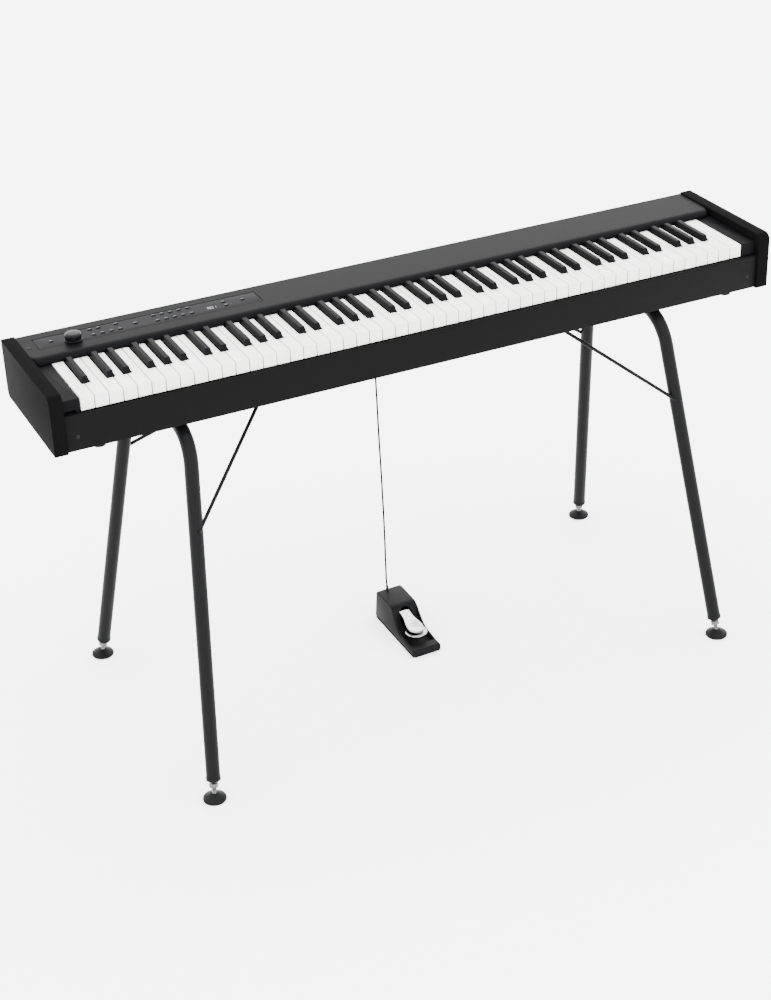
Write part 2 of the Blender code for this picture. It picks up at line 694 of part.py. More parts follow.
def black_keys(name, keys):
    """One black key, or several joined by a bar above the whites, under the cover."""
    half = BLACK_WIDTH / 2 - BLACK_INSET
    joined = len(keys) > 1
    rear = COMB_BAR_FRONT - 2 * GAP if joined else KEY_END
    caps, bodies = bmesh.new(), bmesh.new()
    xs = [black_centre(octave, tone) for octave, tone in keys]
    bar_front = rear - BLACK_POST + BLACK_INSET
    bar_low, bar_high = KEY_TOP + BLACK_BAR_LOW, KEY_TOP + BLACK_BAR_HIGH
    for x in xs:
        add_black_cap(caps, x)
        front = BLACK_FRONT + BLACK_INSET
        add_block(bodies, (x - half, front, KEY_BOTTOM), (x + half, rear, KEY_TOP - BLACK_LAP / 3))
        if joined:
            post = (x - half, rear - BLACK_POST, KEY_TOP - 1.5 * BLACK_LAP)
            add_block(caps, post, (x + half, rear, bar_high - BLACK_LAP / 2))
    keys = placed(name, bodies, "black_key")
    if joined:
        bar = block(
            name + "_bar",
            (xs[0] - half, bar_front, bar_low),
            (xs[-1] + half, bar_front + BLACK_BAR, bar_high),
        )
        join(keys, placed(name + "_caps", caps, None), bar)
    else:
        join(keys, placed(name + "_cap", caps, None))


def keyboard():
    """The middle octave's twelve keys, and the keys on both sides of it as four groups."""
    high = LOW_WHITES + 7
    white_keys("low_white_keys", range(LOW_WHITES))
    white_keys("high_white_keys", range(high, WHITE_COUNT))
    names = ("c", "d", "e", "f", "g", "a", "b")
    for step, letter in enumerate(names):
        white_keys(f"white_key_{letter}", [LOW_WHITES + step])
    blacks = [(octave, tone) for octave in range(8) for tone in BLACK_TONES]
    blacks = [key for key in blacks if KEYS_LEFT < black_centre(*key) < KEYS_RIGHT]
    black_keys("low_black_keys", [key for key in blacks if key[0] < OWN_OCTAVE])
    black_keys("high_black_keys", [key for key in blacks if key[0] > OWN_OCTAVE])
    for tone, letter in zip(BLACK_TONES, ("c", "d", "f", "g", "a")):
        black_keys(f"black_key_{letter}_sharp", [(OWN_OCTAVE, tone)])


# ---- stand --------------------------------------------------------------------------

def frame_place(side):
    """The matrix that sets a frame, drawn at x = 0 for its feet, in its place."""
    turn, shift = FRAME_SET[side]
    sign = -1 if side == "left" else 1
    return Matrix.Translation((sign * FRAME_X_FLOOR, shift, 0)) @ Matrix.Rotation(turn, 4, "Z")


def leg_line(side, end):
    """A leg's corner under the body and the point on the floor that it aims at."""
    inward = 1 if side == "left" else -1
    outward = -1 if end == "front" else 1
    corner = Vector(((FRAME_X_FLOOR - FRAME_X_TOP) * inward, outward * FRAME_HALF_TOP, FRAME_TOP))
    floor = Vector((0, outward * FRAME_HALF_FLOOR, 0))
    return frame_place(side) @ corner, frame_place(side) @ floor


def frame_centre(side):
    inward = 1 if side == "left" else -1
    return frame_place(side) @ Vector(((FRAME_X_FLOOR - FRAME_X_TOP) * inward, 0, FRAME_TOP))


def bend(start, corner, end, radius, steps):
    """Points of a bend that joins the two straight runs which meet at the corner."""
    back, ahead = (start - corner).normalized(), (end - corner).normalized()
    half = back.angle(ahead) / 2
    reach = radius / math.tan(half)
    centre = corner + (back + ahead).normalized() * radius / math.sin(half)
    first = corner + back * reach - centre
    sweep = math.pi - 2 * half
    axis = first.cross(ahead)
    return [centre + Matrix.Rotation(sweep * i / steps, 3, axis) @ first for i in range(steps + 1)]


def on_leg(side, end, height):
    corner, floor = leg_line(side, end)
    return corner.lerp(floor, (corner.z - height) / (corner.z - floor.z))


def leg(side, end):
    """Bent tube from the middle of the frame's top down to the foot, bored for the foot's stud."""
    corner, floor = leg_line(side, end)
    centre = frame_centre(side)
    start = centre + (corner - centre).normalized() * GAP
    tip = on_leg(side, end, TUBE_END)
    points = [start, *bend(start, corner, floor, BEND_RADIUS, 7), tip]
    made = tube(f"{side}_{end}_leg", points, TUBE_RADIUS, "black_steel")
    down = (floor - corner).normalized()
    hole = rod(
        f"{side}_{end}_stud_bore",
        tip - down * BORE_DEPTH,
        tip + down * OVERRUN,
        BORE_RADIUS,
        sides=16,
    )
    cut(made, hole)


def foot(side, end):
    """Adjustable foot: a coned disc that lies flat, a stud along the leg and its hex nut."""
    corner, floor = leg_line(side, end)
    down = (floor - corner).normalized()
    tip = on_leg(side, end, TUBE_END)
    ball = on_leg(side, end, BALL_HEIGHT)
    nut = on_leg(side, end, NUT_HEIGHT)
    disc = turned(
        f"{side}_{end}_foot",
        [
            (0, 0.0130),
            (0.0065, 0.0130),
            (0.0090, 0.0110),
            (FOOT_RADIUS - 0.0015, 0.0055),
            (FOOT_RADIUS, 0.0040),
            (FOOT_RADIUS, 0.0010),
            (FOOT_RADIUS - 0.0010, 0),
            (0, 0),
        ],
        (ball.x, ball.y, 0),
        "black_plastic",
    )
    bpy.context.view_layer.update()
    stud = rod(f"{side}_{end}_stud", ball, tip - down * STUD_DEPTH, STUD_RADIUS, sides=12)
    reach = down * NUT_THICK / 2
    hexagon = rod(f"{side}_{end}_nut", nut - reach, nut + reach, NUT_RADIUS, sides=6)
    for other in (stud, hexagon):
        other.data.transform(Matrix.Translation(-disc.location))
        other.location = disc.location
    join(disc, stud, hexagon)


def mount_plate(side):
    """Steel plate between the body's underside and the tube, turned as its frame is."""
    inward = 1 if side == "left" else -1
    x = (FRAME_X_FLOOR - FRAME_X_TOP) * inward
    half_x, half_y = PLATE_WIDTH / 2, PLATE_LENGTH / 2
    outline = rounded_box(x - half_x, x + half_x, -half_y, half_y, PLATE_ROUND)
    top = UNDERSIDE - GAP
    plate = prism(f"{side}_mount_plate", outline, "z", top - PLATE_THICK, top, "black_steel")
    plate.data.transform(frame_place(side))


def brace(side, end):
    """Thin rod from a leg up and inwards to the middle of the underside."""
    inward = 1 if side == "left" else -1
    outward = -1 if end == "front" else 1
    height = FRAME_TOP - BRACE_LEG_DROP
    axis_point = on_leg(side, end, height)
    meet_z = UNDERSIDE - GAP - BRACE_RADIUS
    meet = Vector((-inward * BRACE_MEET_X, outward * BRACE_MEET_Y, meet_z))
    towards = (meet - axis_point).normalized()
    corner, floor = leg_line(side, end)
    slant = towards.angle(corner - floor)
    clear = (TUBE_RADIUS + BRACE_RADIUS * math.cos(slant)) / math.sin(slant) + GAP
    foot_point = axis_point + towards * clear
    pad = Vector((inward * BRACE_PAD, 0, 0))
    points = [foot_point, meet + pad, meet - pad]
    tube(f"{side}_{end}_brace", points, BRACE_RADIUS, "black_steel", resolution=3)


def body_foot(side, end):
    """Rubber bump under a corner of the body."""
    x = (HALF_WIDTH - BUMPER_INSET) * (-1 if side == "left" else 1)
    y = BUMPER_Y * (-1 if end == "front" else 1)
    top = UNDERSIDE - GAP
    profile = [
        (0, 0),
        (BUMPER_RADIUS, 0),
        (BUMPER_RADIUS, BUMPER_ROUND - BUMPER_HEIGHT),
        (BUMPER_RADIUS - BUMPER_ROUND, -BUMPER_HEIGHT),
        (0, -BUMPER_HEIGHT),
    ]
    turned(f"{side}_{end}_bumper", profile, (x, y, top), "rubber", steps=16)


# ---- pedal --------------------------------------------------------------------------

def pedal():
    """Wedge housing with a low front, a chrome lever that turns on a pin, and a rubber sole."""
    half = PEDAL_WIDTH / 2
    base = SOLE_THICK + GAP
    bar_end = PEDAL_FRONT + PEDAL_BAR_DEPTH
    side_view = [
        (PEDAL_FRONT, base),
        (PEDAL_FRONT, PEDAL_BAR_HEIGHT - 0.004),
        (PEDAL_FRONT + 0.006, PEDAL_BAR_HEIGHT),
        (bar_end, PEDAL_BAR_HEIGHT),
        (bar_end + 0.002, PEDAL_PLATE),
        (WEDGE_FRONT, PEDAL_PLATE),
        (WEDGE_TOP_FRONT - 0.012, PEDAL_HEIGHT - 0.006),
        (WEDGE_TOP_FRONT - 0.006, PEDAL_HEIGHT - 0.001),
        (WEDGE_TOP_FRONT, PEDAL_HEIGHT),
        (PEDAL_REAR - WEDGE_TOP_REAR, PEDAL_HEIGHT),
        (PEDAL_REAR - WEDGE_TOP_REAR + 0.008, PEDAL_HEIGHT - 0.003),
        (PEDAL_REAR, base),
    ]
    housing = prism("pedal_housing", side_view, "x", -half, half, "black_plastic")
    slot_half = LEVER_ROOT_HALF + LEVER_SLOT_CLEAR
    pivot_y, pivot_z = LEVER_PIVOT
    slot = block(
        "lever_slot",
        (-slot_half, PEDAL_FRONT + PEDAL_BAR_DEPTH + OVERRUN, SLOT_FLOOR),
        (slot_half, pivot_y + SLOT_BEHIND_PIVOT, pivot_z + SLOT_ABOVE_PIVOT),
    )
    pin_start = Vector((-half + PIN_INSET, *LEVER_PIVOT))
    pin_end = Vector((half - PIN_INSET, *LEVER_PIVOT))
    pin_hole = rod("pin_hole", pin_start, pin_end, PIN_RADIUS + GAP, sides=16)
    reach = Vector((PIN_CLEAR, 0, 0))
    rod("pedal_pin", pin_start + reach, pin_end - reach, PIN_RADIUS, "chrome", 16)
    relief_seat = rod("relief_seat", RELIEF_BASE, RELIEF_TIP, RELIEF_BASE_RADIUS + GAP, sides=16)
    cut(housing, slot, pin_hole, relief_seat)
    inset = half - SOLE_INSET
    front, rear = PEDAL_FRONT + SOLE_INSET, PEDAL_REAR - SOLE_INSET
    sole = rounded_box(-inset, inset, front, rear, SOLE_ROUND)
    prism("pedal_sole", sole, "z", 0, SOLE_THICK, "rubber")
    pedal_lever(pin_start, pin_end)
    for name in ("pedal_housing", "pedal_pin", "pedal_sole", "pedal_lever"):
        bpy.data.objects[name].matrix_world = PEDAL_PLACE
    for name in ("lever_slot", "pin_hole", "relief_seat", "lever_bore", "lever_outline"):
        bpy.data.objects[name].matrix_world = PEDAL_PLACE


def pedal_lever(pin_start, pin_end):
    """Lever: a side view of bent plate, kept within the outline seen from above."""
    y, z = LEVER_PIVOT
    neck_end = LEVER_TIP + 0.032
    top = [
        (LEVER_TIP, z - 0.0060),
        (LEVER_TIP + 0.010, z - 0.0025),
        (neck_end, z - 0.0005),
        (LEVER_WAIST + 0.002, z + 0.0055),
        (y, z + 0.0060),
        (y + 0.008, z + 0.0020),
    ]
    under = [
        (y + 0.008, z - 0.0050),
        (y - 0.012, z - 0.0060),
        (LEVER_WAIST, z - 0.0015),
        (neck_end, z - 0.0005 - LEVER_THICK),
        (LEVER_TIP + 0.008, z - 0.0085),
        (LEVER_TIP, z - 0.0090),
    ]
    lever = prism(
        "pedal_lever", under[::-1] + top[::-1], "x", -LEVER_PAD_HALF, LEVER_PAD_HALF, "chrome"
    )
    root = y + 0.010
    flare_half = LEVER_ROOT_HALF + 0.0030
    pad_centre = (0, LEVER_TIP + LEVER_PAD_HALF)
    outline = [
        (-LEVER_ROOT_HALF, root),
        (-LEVER_ROOT_HALF, LEVER_WAIST),
        (-flare_half, LEVER_FLARE),
        *arc(pad_centre, LEVER_PAD_HALF, 170, 370, 14),
        (flare_half, LEVER_FLARE),
        (LEVER_ROOT_HALF, LEVER_WAIST),
        (LEVER_ROOT_HALF, root),
    ]
    keep = lever.modifiers.new("outline", "BOOLEAN")
    keep.operation = "INTERSECT"
    keep.object = prism("lever_outline", outline, "z", 0, PEDAL_HEIGHT)
    cut(lever, rod("lever_bore", pin_start, pin_end, PIN_RADIUS + GAP, sides=16))


# ---- cord ---------------------------------------------------------------------------

# From the relief on the pedal up to the plug behind the body.
CORD_ROUTE = [
    (0.0026, 0.1107, 0.0655),
    (0.0028, 0.1124, 0.0740),
    (0.0030, 0.1135, 0.0850),
    (0.0034, 0.1145, 0.1100),
    (0.0038, 0.1153, 0.1500),
    (0.0040, 0.1165, 0.2000),
    (0.0041, 0.1185, 0.2500),
    (0.0044, 0.1215, 0.3000),
    (0.0049, 0.1255, 0.3500),
    (0.0058, 0.1300, 0.4000),
    (0.0072, 0.1350, 0.4500),
    (0.0086, 0.1405, 0.5000),
    (0.0100, 0.1470, 0.5500),
    (0.0110, 0.1550, 0.6000),
    (0.0115, 0.1640, 0.6320),
    (0.0118, 0.1730, 0.6490),
    (0.0120, 0.1700, 0.6545),
    (0.0120, 0.1640, 0.6550),
]


def smooth_route(points, steps):
    """Points on a smooth curve through the route, by Catmull-Rom spans."""
    places = [Vector(point) for point in points]
    places = [2 * places[0] - places[1], *places, 2 * places[-1] - places[-2]]
    smooth = []
    for before, start, end, after in zip(places, places[1:], places[2:], places[3:]):
        for i in range(steps):
            t = i / steps
            smooth.append(
                0.5
                * (
                    2 * start
                    + (end - before) * t
                    + (2 * before - 5 * start + 4 * end - after) * t**2
                    + (3 * start - before - 3 * end + after) * t**3
                )
            )
    return smooth + [places[-2]]


def cord():
    """Thin lead between the pedal's strain relief and the plug in the body's rear panel."""
    tube("pedal_cord", smooth_route(CORD_ROUTE, 4), CORD_RADIUS, "cord_jacket", resolution=2)
    start = Vector((JACK_X, PLUG_START, JACK_Z))
    tip = Vector((JACK_X, PANEL_INNER_FACE - JACK_LENGTH + 2 * JACK_WALL, JACK_Z))
    end = start + Vector((0, PLUG_LENGTH, 0))
    plug = rod("pedal_plug", start, end, PLUG_RADIUS, "black_plastic")
    lap = Vector((0, JACK_WALL, 0))
    join(plug, rod("plug_shaft", tip, start + lap, PLUG_SHAFT, sides=16))
    wide, narrow = RELIEF_BASE_RADIUS, RELIEF_TIP_RADIUS
    relief = rod("cord_relief", RELIEF_BASE, RELIEF_TIP, wide, "rubber", 16, narrow)
    relief.matrix_world = PEDAL_PLACE


end_panels()
shell_boards()
top_cover()
cheek_blocks()
inner_parts()
control_panel()
volume_knob()
button_group("sound_buttons", SOUND_PLACES)
button_group("program_buttons", PROGRAM_PLACES)
button_group("step_buttons", STEP_PLACES)
button_group("power_button", POWER_PLACES)
keyboard()
for frame_side in ("left", "right"):
    mount_plate(frame_side)
    for frame_end in ("front", "rear"):
        leg(frame_side, frame_end)
        foot(frame_side, frame_end)
        brace(frame_side, frame_end)
        body_foot(frame_side, frame_end)
pedal()
cord()
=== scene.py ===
import json
import math

import bmesh
import bpy
import numpy as np
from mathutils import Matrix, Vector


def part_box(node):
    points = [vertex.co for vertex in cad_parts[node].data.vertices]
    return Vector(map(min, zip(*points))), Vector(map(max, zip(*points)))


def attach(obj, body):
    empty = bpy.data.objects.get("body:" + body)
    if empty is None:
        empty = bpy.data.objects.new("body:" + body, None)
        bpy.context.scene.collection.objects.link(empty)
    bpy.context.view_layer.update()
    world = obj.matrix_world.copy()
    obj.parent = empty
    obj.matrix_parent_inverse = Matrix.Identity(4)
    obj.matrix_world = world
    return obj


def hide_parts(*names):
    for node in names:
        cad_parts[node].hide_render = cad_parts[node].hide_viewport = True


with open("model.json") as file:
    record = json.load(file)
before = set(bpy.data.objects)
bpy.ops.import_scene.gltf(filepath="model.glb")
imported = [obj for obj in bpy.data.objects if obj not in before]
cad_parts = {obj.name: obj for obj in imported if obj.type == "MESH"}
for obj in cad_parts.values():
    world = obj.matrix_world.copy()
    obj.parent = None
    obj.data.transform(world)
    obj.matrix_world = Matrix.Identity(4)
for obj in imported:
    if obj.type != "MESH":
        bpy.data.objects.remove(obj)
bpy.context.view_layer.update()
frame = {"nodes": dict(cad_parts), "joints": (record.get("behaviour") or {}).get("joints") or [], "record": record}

# ---- room ---------------------------------------------------------------------------
# A white studio sweep: matt painted floor, one large soft light over the piano, a weaker
# one from the player's left, and an even white surround that fills the shadows.

LENS = 70.456
CAMERA_PLACE = (-1.33655, -2.75333, 2.03750)
CAMERA_TURN = (60.5337, 1.7819, -26.1227)
FLOOR_SIZE = 60.0
SURROUND = 7.0


def linear(code):
    """The linear RGBA of an sRGB hex colour: each channel by the sRGB curve."""
    channel = np.array([int(code[i : i + 2], 16) / 255 for i in (1, 3, 5)])
    value = np.where(channel <= 0.04045, channel / 12.92, ((channel + 0.055) / 1.055) ** 2.4)
    return (*value.tolist(), 1.0)


def add(tree, kind, inputs=None, **settings):
    """A node of this kind: an input given as a socket is linked, any other value is set."""
    made = tree.nodes.new("ShaderNode" + kind)
    for name, value in settings.items():
        setattr(made, name, value)
    for name, value in (inputs or {}).items():
        if isinstance(value, bpy.types.NodeSocket):
            tree.links.new(value, made.inputs[name])
        else:
            made.inputs[name].default_value = value
    return made


def finish(name, colour, roughness, **shader_values):
    """A Principled material of one colour. Gives the material, its tree, shader and coordinates."""
    made = bpy.data.materials.new(name)
    made.use_nodes = True
    tree = made.node_tree
    shader = tree.nodes["Principled BSDF"]
    shader.inputs["Base Color"].default_value = linear(colour)
    shader.inputs["Roughness"].default_value = roughness
    for socket, value in shader_values.items():
        shader.inputs[socket.replace("_", " ")].default_value = value
    return made, tree, shader, add(tree, "TexCoord").outputs["Object"]


def mottled(tree, shader, where, grain_mm, colours, roughness, bump_mm, stretch=(1, 1, 1)):
    """Fine noise of one grain size. It blends two colours, which replace the finish's own one,
    varies the gloss between two values and lifts the surface."""
    placed = add(tree, "Mapping", {"Vector": where, "Scale": stretch}).outputs["Vector"]
    noise = add(tree, "TexNoise", {"Vector": placed, "Scale": 1000 / grain_mm, "Detail": 3.0})
    tone = add(tree, "ValToRGB", {"Fac": noise.outputs["Fac"]})
    tone.color_ramp.elements[0].position = 0.35
    tone.color_ramp.elements[1].position = 0.65
    tone.color_ramp.elements[0].color = linear(colours[0])
    tone.color_ramp.elements[1].color = linear(colours[1])
    tree.links.new(tone.outputs["Color"], shader.inputs["Base Color"])
    low, high = roughness
    gloss = add(tree, "MapRange", {"Value": noise.outputs["Fac"], "To Min": low, "To Max": high})
    tree.links.new(gloss.outputs["Result"], shader.inputs["Roughness"])
    height = {"Height": noise.outputs["Fac"], "Distance": bump_mm / 1000, "Strength": 1.0}
    tree.links.new(add(tree, "Bump", height).outputs["Normal"], shader.inputs["Normal"])


camera_data = bpy.data.cameras.new("camera")
camera_data.lens = LENS
camera = bpy.data.objects.new("camera", camera_data)
camera.location = CAMERA_PLACE
camera.rotation_euler = [math.radians(turn) for turn in CAMERA_TURN]
bpy.context.scene.collection.objects.link(camera)
bpy.context.scene.camera = camera


def soft_light(name, place, aim, size, watts):
    """A large square area light that faces a point."""
    data = bpy.data.lights.new(name, "AREA")
    data.shape = "RECTANGLE"
    data.size, data.size_y = size
    data.energy = watts
    light = bpy.data.objects.new(name, data)
    light.location = place
    toward = np.array(aim, float) - np.array(place, float)
    light.rotation_euler = (
        math.atan2(math.hypot(toward[0], toward[1]), -toward[2]),
        0,
        math.atan2(toward[1], toward[0]) - math.pi / 2,
    )
    bpy.context.scene.collection.objects.link(light)


soft_light("top_light", (0.9, 1.6, 3.4), (0.1, 0.0, 0.7), (3.2, 1.6), 70)
soft_light("front_light", (-1.8, -3.4, 2.2), (0.0, 0.0, 0.5), (2.4, 2.0), 20)

world = bpy.data.worlds.new("studio")
bpy.context.scene.world = world
world.use_nodes = True
surround = world.node_tree.nodes["Background"]
surround.inputs["Color"].default_value = (1, 1, 1, 1)
surround.inputs["Strength"].default_value = SURROUND

paint, _, _, _ = finish("matt_floor_paint", "#fafafa", 0.9)
half = FLOOR_SIZE / 2
floor_mesh = bpy.data.meshes.new("floor")
floor_mesh.from_pydata(
    [(-half, -half, 0), (half, -half, 0), (half, half, 0), (-half, half, 0)], [], [(0, 1, 2, 3)]
)
floor_mesh.materials.append(paint)
floor = bpy.data.objects.new("floor", floor_mesh)
bpy.context.scene.collection.objects.link(floor)

# ---- pedal lead ---------------------------------------------------------------------
# The thin black PVC lead between the damper pedal and the socket in the piano's rear.
# It leaves a rubber relief in the pedal, rises a little slack and turns into its plug.

LEAD_RADIUS = 0.00175
LEAD_ROUTE = (
    (0.0026, 0.1107, 0.0655),
    (0.0028, 0.1124, 0.0740),
    (0.0030, 0.1135, 0.0850),
    (0.0034, 0.1145, 0.1100),
    (0.0038, 0.1153, 0.1500),
    (0.0040, 0.1165, 0.2000),
    (0.0041, 0.1185, 0.2500),
    (0.0044, 0.1215, 0.3000),
    (0.0049, 0.1255, 0.3500),
    (0.0058, 0.1300, 0.4000),
    (0.0072, 0.1350, 0.4500),
    (0.0086, 0.1405, 0.5000),
    (0.0100, 0.1470, 0.5500),
    (0.0110, 0.1550, 0.6000),
    (0.0115, 0.1640, 0.6320),
    (0.0118, 0.1730, 0.6490),
    (0.0120, 0.1700, 0.6545),
    (0.0120, 0.1640, 0.6550),
)


def smooth_line(route, steps):
    """Points on a smooth curve through a route, by the Catmull-Rom polynomial of each span."""
    p = np.array(route, float)
    p = np.vstack([2 * p[0] - p[1], p, 2 * p[-1] - p[-2]])
    t = (np.arange(steps) / steps)[None, :, None]
    a, b, c, d = (p[i : len(p) - 3 + i, None] for i in range(4))
    spans = a * (-t + 2 * t**2 - t**3) + b * (2 - 5 * t**2 + 3 * t**3)
    spans = (spans + c * (t + 4 * t**2 - 3 * t**3) + d * (t**3 - t**2)) / 2
    return np.vstack([spans.reshape(-1, 3), p[-2]])


def sweep(line, radii, side, sides=24):
    """Rings of a round bar: each point of the line plus its radius times a circle across it."""
    line = np.asarray(line, float)
    along = np.gradient(line, axis=0)
    along /= np.linalg.norm(along, axis=1, keepdims=True)
    u = np.asarray(side, float) - along * (along @ np.asarray(side, float))[:, None]
    u /= np.linalg.norm(u, axis=1, keepdims=True)
    v = np.cross(along, u)
    turn = np.linspace(0, 2 * np.pi, sides, endpoint=False)
    circle = np.cos(turn)[None, :, None] * u[:, None] + np.sin(turn)[None, :, None] * v[:, None]
    return line[:, None] + np.broadcast_to(radii, len(line))[:, None, None] * circle


def solid(name, material, body, rings_of_shells, stands_for=(), sharp=32):
    """One piece made of closed shells. A shell is rings of points, joined in order and capped.

    Each cell of a ring grid is a quad, the first and last ring are one face each, and a shell
    whose signed volume is below zero is turned round so that its faces point outwards."""
    points, faces, start = [], [], 0
    for rings in rings_of_shells:
        rows, across = rings.shape[:2]
        place = np.arange(rows * across).reshape(rows, across) + start
        ahead = np.roll(place, -1, axis=1)
        quads = np.stack([place[:-1], ahead[:-1], ahead[1:], place[1:]], -1).reshape(-1, 4)
        shell = [*quads.tolist(), place[0, ::-1].tolist(), place[-1].tolist()]
        corner = rings.reshape(-1, 3)
        middle = corner.mean(0)
        q = corner[quads - start] - middle
        volume = np.einsum("ij,ij->i", q[:, 0], np.cross(q[:, 1], q[:, 2])).sum()
        volume += np.einsum("ij,ij->i", q[:, 0], np.cross(q[:, 2], q[:, 3])).sum()
        faces += [face[::-1] for face in shell] if volume < 0 else shell
        points.append(corner)
        start += len(corner)
    mesh = bpy.data.meshes.new(name)
    mesh.from_pydata(np.vstack(points).tolist(), [], faces)
    bm = bmesh.new()
    bm.from_mesh(mesh)
    bmesh.ops.remove_doubles(bm, verts=bm.verts, dist=1e-6)
    bmesh.ops.dissolve_degenerate(bm, edges=bm.edges, dist=1e-6)
    bm.to_mesh(mesh)
    bm.free()
    return piece(name, mesh, material, body, stands_for, sharp)


def piece(name, mesh, material, body, stands_for=(), sharp=32):
    """The finished object of a mesh: smooth but for sharp edges, riding on its body."""
    mesh.shade_smooth()
    mesh.set_sharp_from_angle(angle=math.radians(sharp))
    mesh.materials.append(material)
    made = bpy.data.objects.new(name, mesh)
    bpy.context.scene.collection.objects.link(made)
    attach(made, body)
    if stands_for:
        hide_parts(*stands_for)
    return made


def turned(profile, centre, sides=48):
    """Rings of a turned shape: each (radius, height) of the profile as a circle round the centre."""
    profile = np.asarray(profile, float)
    turn = np.linspace(0, 2 * np.pi, sides, endpoint=False)
    x = centre[0] + profile[:, :1] * np.cos(turn)
    y = centre[1] + profile[:, :1] * np.sin(turn)
    z = np.broadcast_to(centre[2] + profile[:, 1:], x.shape)
    return np.stack([x, y, z], -1)


pvc, tree, shader, where = finish("pvc_lead_jacket", "#09090a", 0.5, Specular_IOR_Level=0.03)
mottled(tree, shader, where, 2.0, ("#080809", "#0b0b0c"), (0.42, 0.56), 0.05)
relief_rubber, tree, shader, where = finish("moulded_rubber", "#080808", 0.7, Specular_IOR_Level=0.06)
mottled(tree, shader, where, 1.2, ("#070707", "#0a0a0a"), (0.62, 0.8), 0.08)
glossy_abs, tree, shader, where = finish("gloss_black_abs", "#060607", 0.28, Specular_IOR_Level=0.06)
mottled(tree, shader, where, 3.0, ("#050506", "#070708"), (0.24, 0.33), 0.01)

lead_line = smooth_line(LEAD_ROUTE, 8)
lead = solid(
    "pedal_lead",
    pvc,
    "piano",
    [sweep(lead_line, LEAD_RADIUS, (1, 0, 0), 16)],
    ["pedal_cord"],
)

PLUG_RIB, RELIEF_RIBS, SHAFT = 0.0003, 6, 0.0031
GRIP_START, GRIP_END, TAPER_START, TAPER = 0.25, 0.62, 0.66, 0.45
RELIEF_WIDE, RELIEF_NARROWS, RELIEF_RIB = 0.0037, 0.0012, 0.0005
plug_low, plug_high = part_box("pedal_plug")
plug_x, plug_z = (plug_low.x + plug_high.x) / 2, (plug_low.z + plug_high.z) / 2
plug_radius = (plug_high.z - plug_low.z) / 2
plug_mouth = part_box("pedal_jack")[1].y + 0.0003
reach = plug_high.y - plug_mouth
share = np.linspace(0, 1, 41)
grip = (share > GRIP_START) & (share < GRIP_END)
plug_radii = plug_radius * (1 - TAPER * np.clip((share - TAPER_START) / 0.34, 0, 1) ** 1.5)
plug_radii -= PLUG_RIB * grip * (np.arange(41) % 2)
plug_line = np.stack([0 * share + plug_x, plug_mouth + reach * share, 0 * share + plug_z], -1)
shaft_line = np.array([[plug_x, plug_low.y, plug_z], [plug_x, plug_mouth + 0.001, plug_z]])
plug = solid(
    "lead_plug",
    glossy_abs,
    "piano",
    [sweep(plug_line, plug_radii, (1, 0, 0), 32), sweep(shaft_line, SHAFT, (1, 0, 0), 24)],
    ["pedal_plug"],
)

relief_low, relief_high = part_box("cord_relief")
relief_start = np.array([LEAD_ROUTE[0][0], relief_low.y + 0.0038, relief_low.z + 0.0008])
relief_end = np.array(LEAD_ROUTE[0]) - (0, 0, 0.0003)
share = np.linspace(0, 1, 49)
relief_line = relief_start + (relief_end - relief_start) * share[:, None]
ribs = np.sin(share * RELIEF_RIBS * 2 * np.pi) > 0.2
relief_radii = RELIEF_WIDE - RELIEF_NARROWS * share - RELIEF_RIB * ribs
relief = solid(
    "lead_relief",
    relief_rubber,
    "piano",
    [sweep(relief_line, relief_radii, (1, 0, 0), 24)],
    ["cord_relief"],
)

# ---- end panels ---------------------------------------------------------------------
# Thick end pieces of the body, sprayed a fine-textured satin black, with a big radius at
# the top of the front edge and slightly softened arrises all round.

FRONT_ROUND, TOE_ROUND, ARRIS = 0.013, 0.003, 0.0009
REAR_CUT_Y, REAR_CUT_Z = 0.006, 0.008


def rounded_line(corners, setbacks, steps=5, closed=True):
    """A line through corners made circular: each arc starts at a setback from its corner.

    The arc is the rational curve (1-t)^2 A + 2t(1-t) w C + t^2 B over its weights' sum, with
    C the corner, A and B the points on its two sides, and w the sine of half its angle."""
    c = np.asarray(corners, float)
    setback = np.array(np.broadcast_to(setbacks, len(c)), float)
    back, ahead = np.roll(c, 1, 0) - c, np.roll(c, -1, 0) - c
    if not closed:
        setback[[0, -1]] = 0
    back /= np.linalg.norm(back, axis=1, keepdims=True)
    ahead /= np.linalg.norm(ahead, axis=1, keepdims=True)
    w = np.sqrt(np.clip((1 - (back * ahead).sum(1)) / 2, 0, 1))[:, None, None]
    a, b = (c + back * setback[:, None])[:, None], (c + ahead * setback[:, None])[:, None]
    t = np.linspace(0, 1, steps + 1)[None, :, None]
    middle = 2 * w * t * (1 - t)
    curve = (a * (1 - t) ** 2 + c[:, None] * middle + b * t**2) / ((1 - t) ** 2 + middle + t**2)
    curve = curve.reshape(-1, c.shape[1])
    return curve[np.linalg.norm(curve - np.roll(curve, 1, 0), axis=1) > 1e-8]


def inset(line, depth):
    """A closed outline moved inwards by a depth, along the mitre of each point's two sides."""
    ahead = np.roll(line, -1, 0) - line
    ahead /= np.linalg.norm(ahead, axis=1, keepdims=True)
    back = np.roll(ahead, 1, 0)
    normal = np.stack([-(ahead + back)[:, 1], (ahead + back)[:, 0]], -1)
    normal /= np.clip(1 + (ahead * back).sum(1), 0.3, 2)[:, None]
    x, y = line.T
    turning = (x * np.roll(y, -1) - y * np.roll(x, -1)).sum()
    return line + normal * (depth if turning > 0 else -depth)


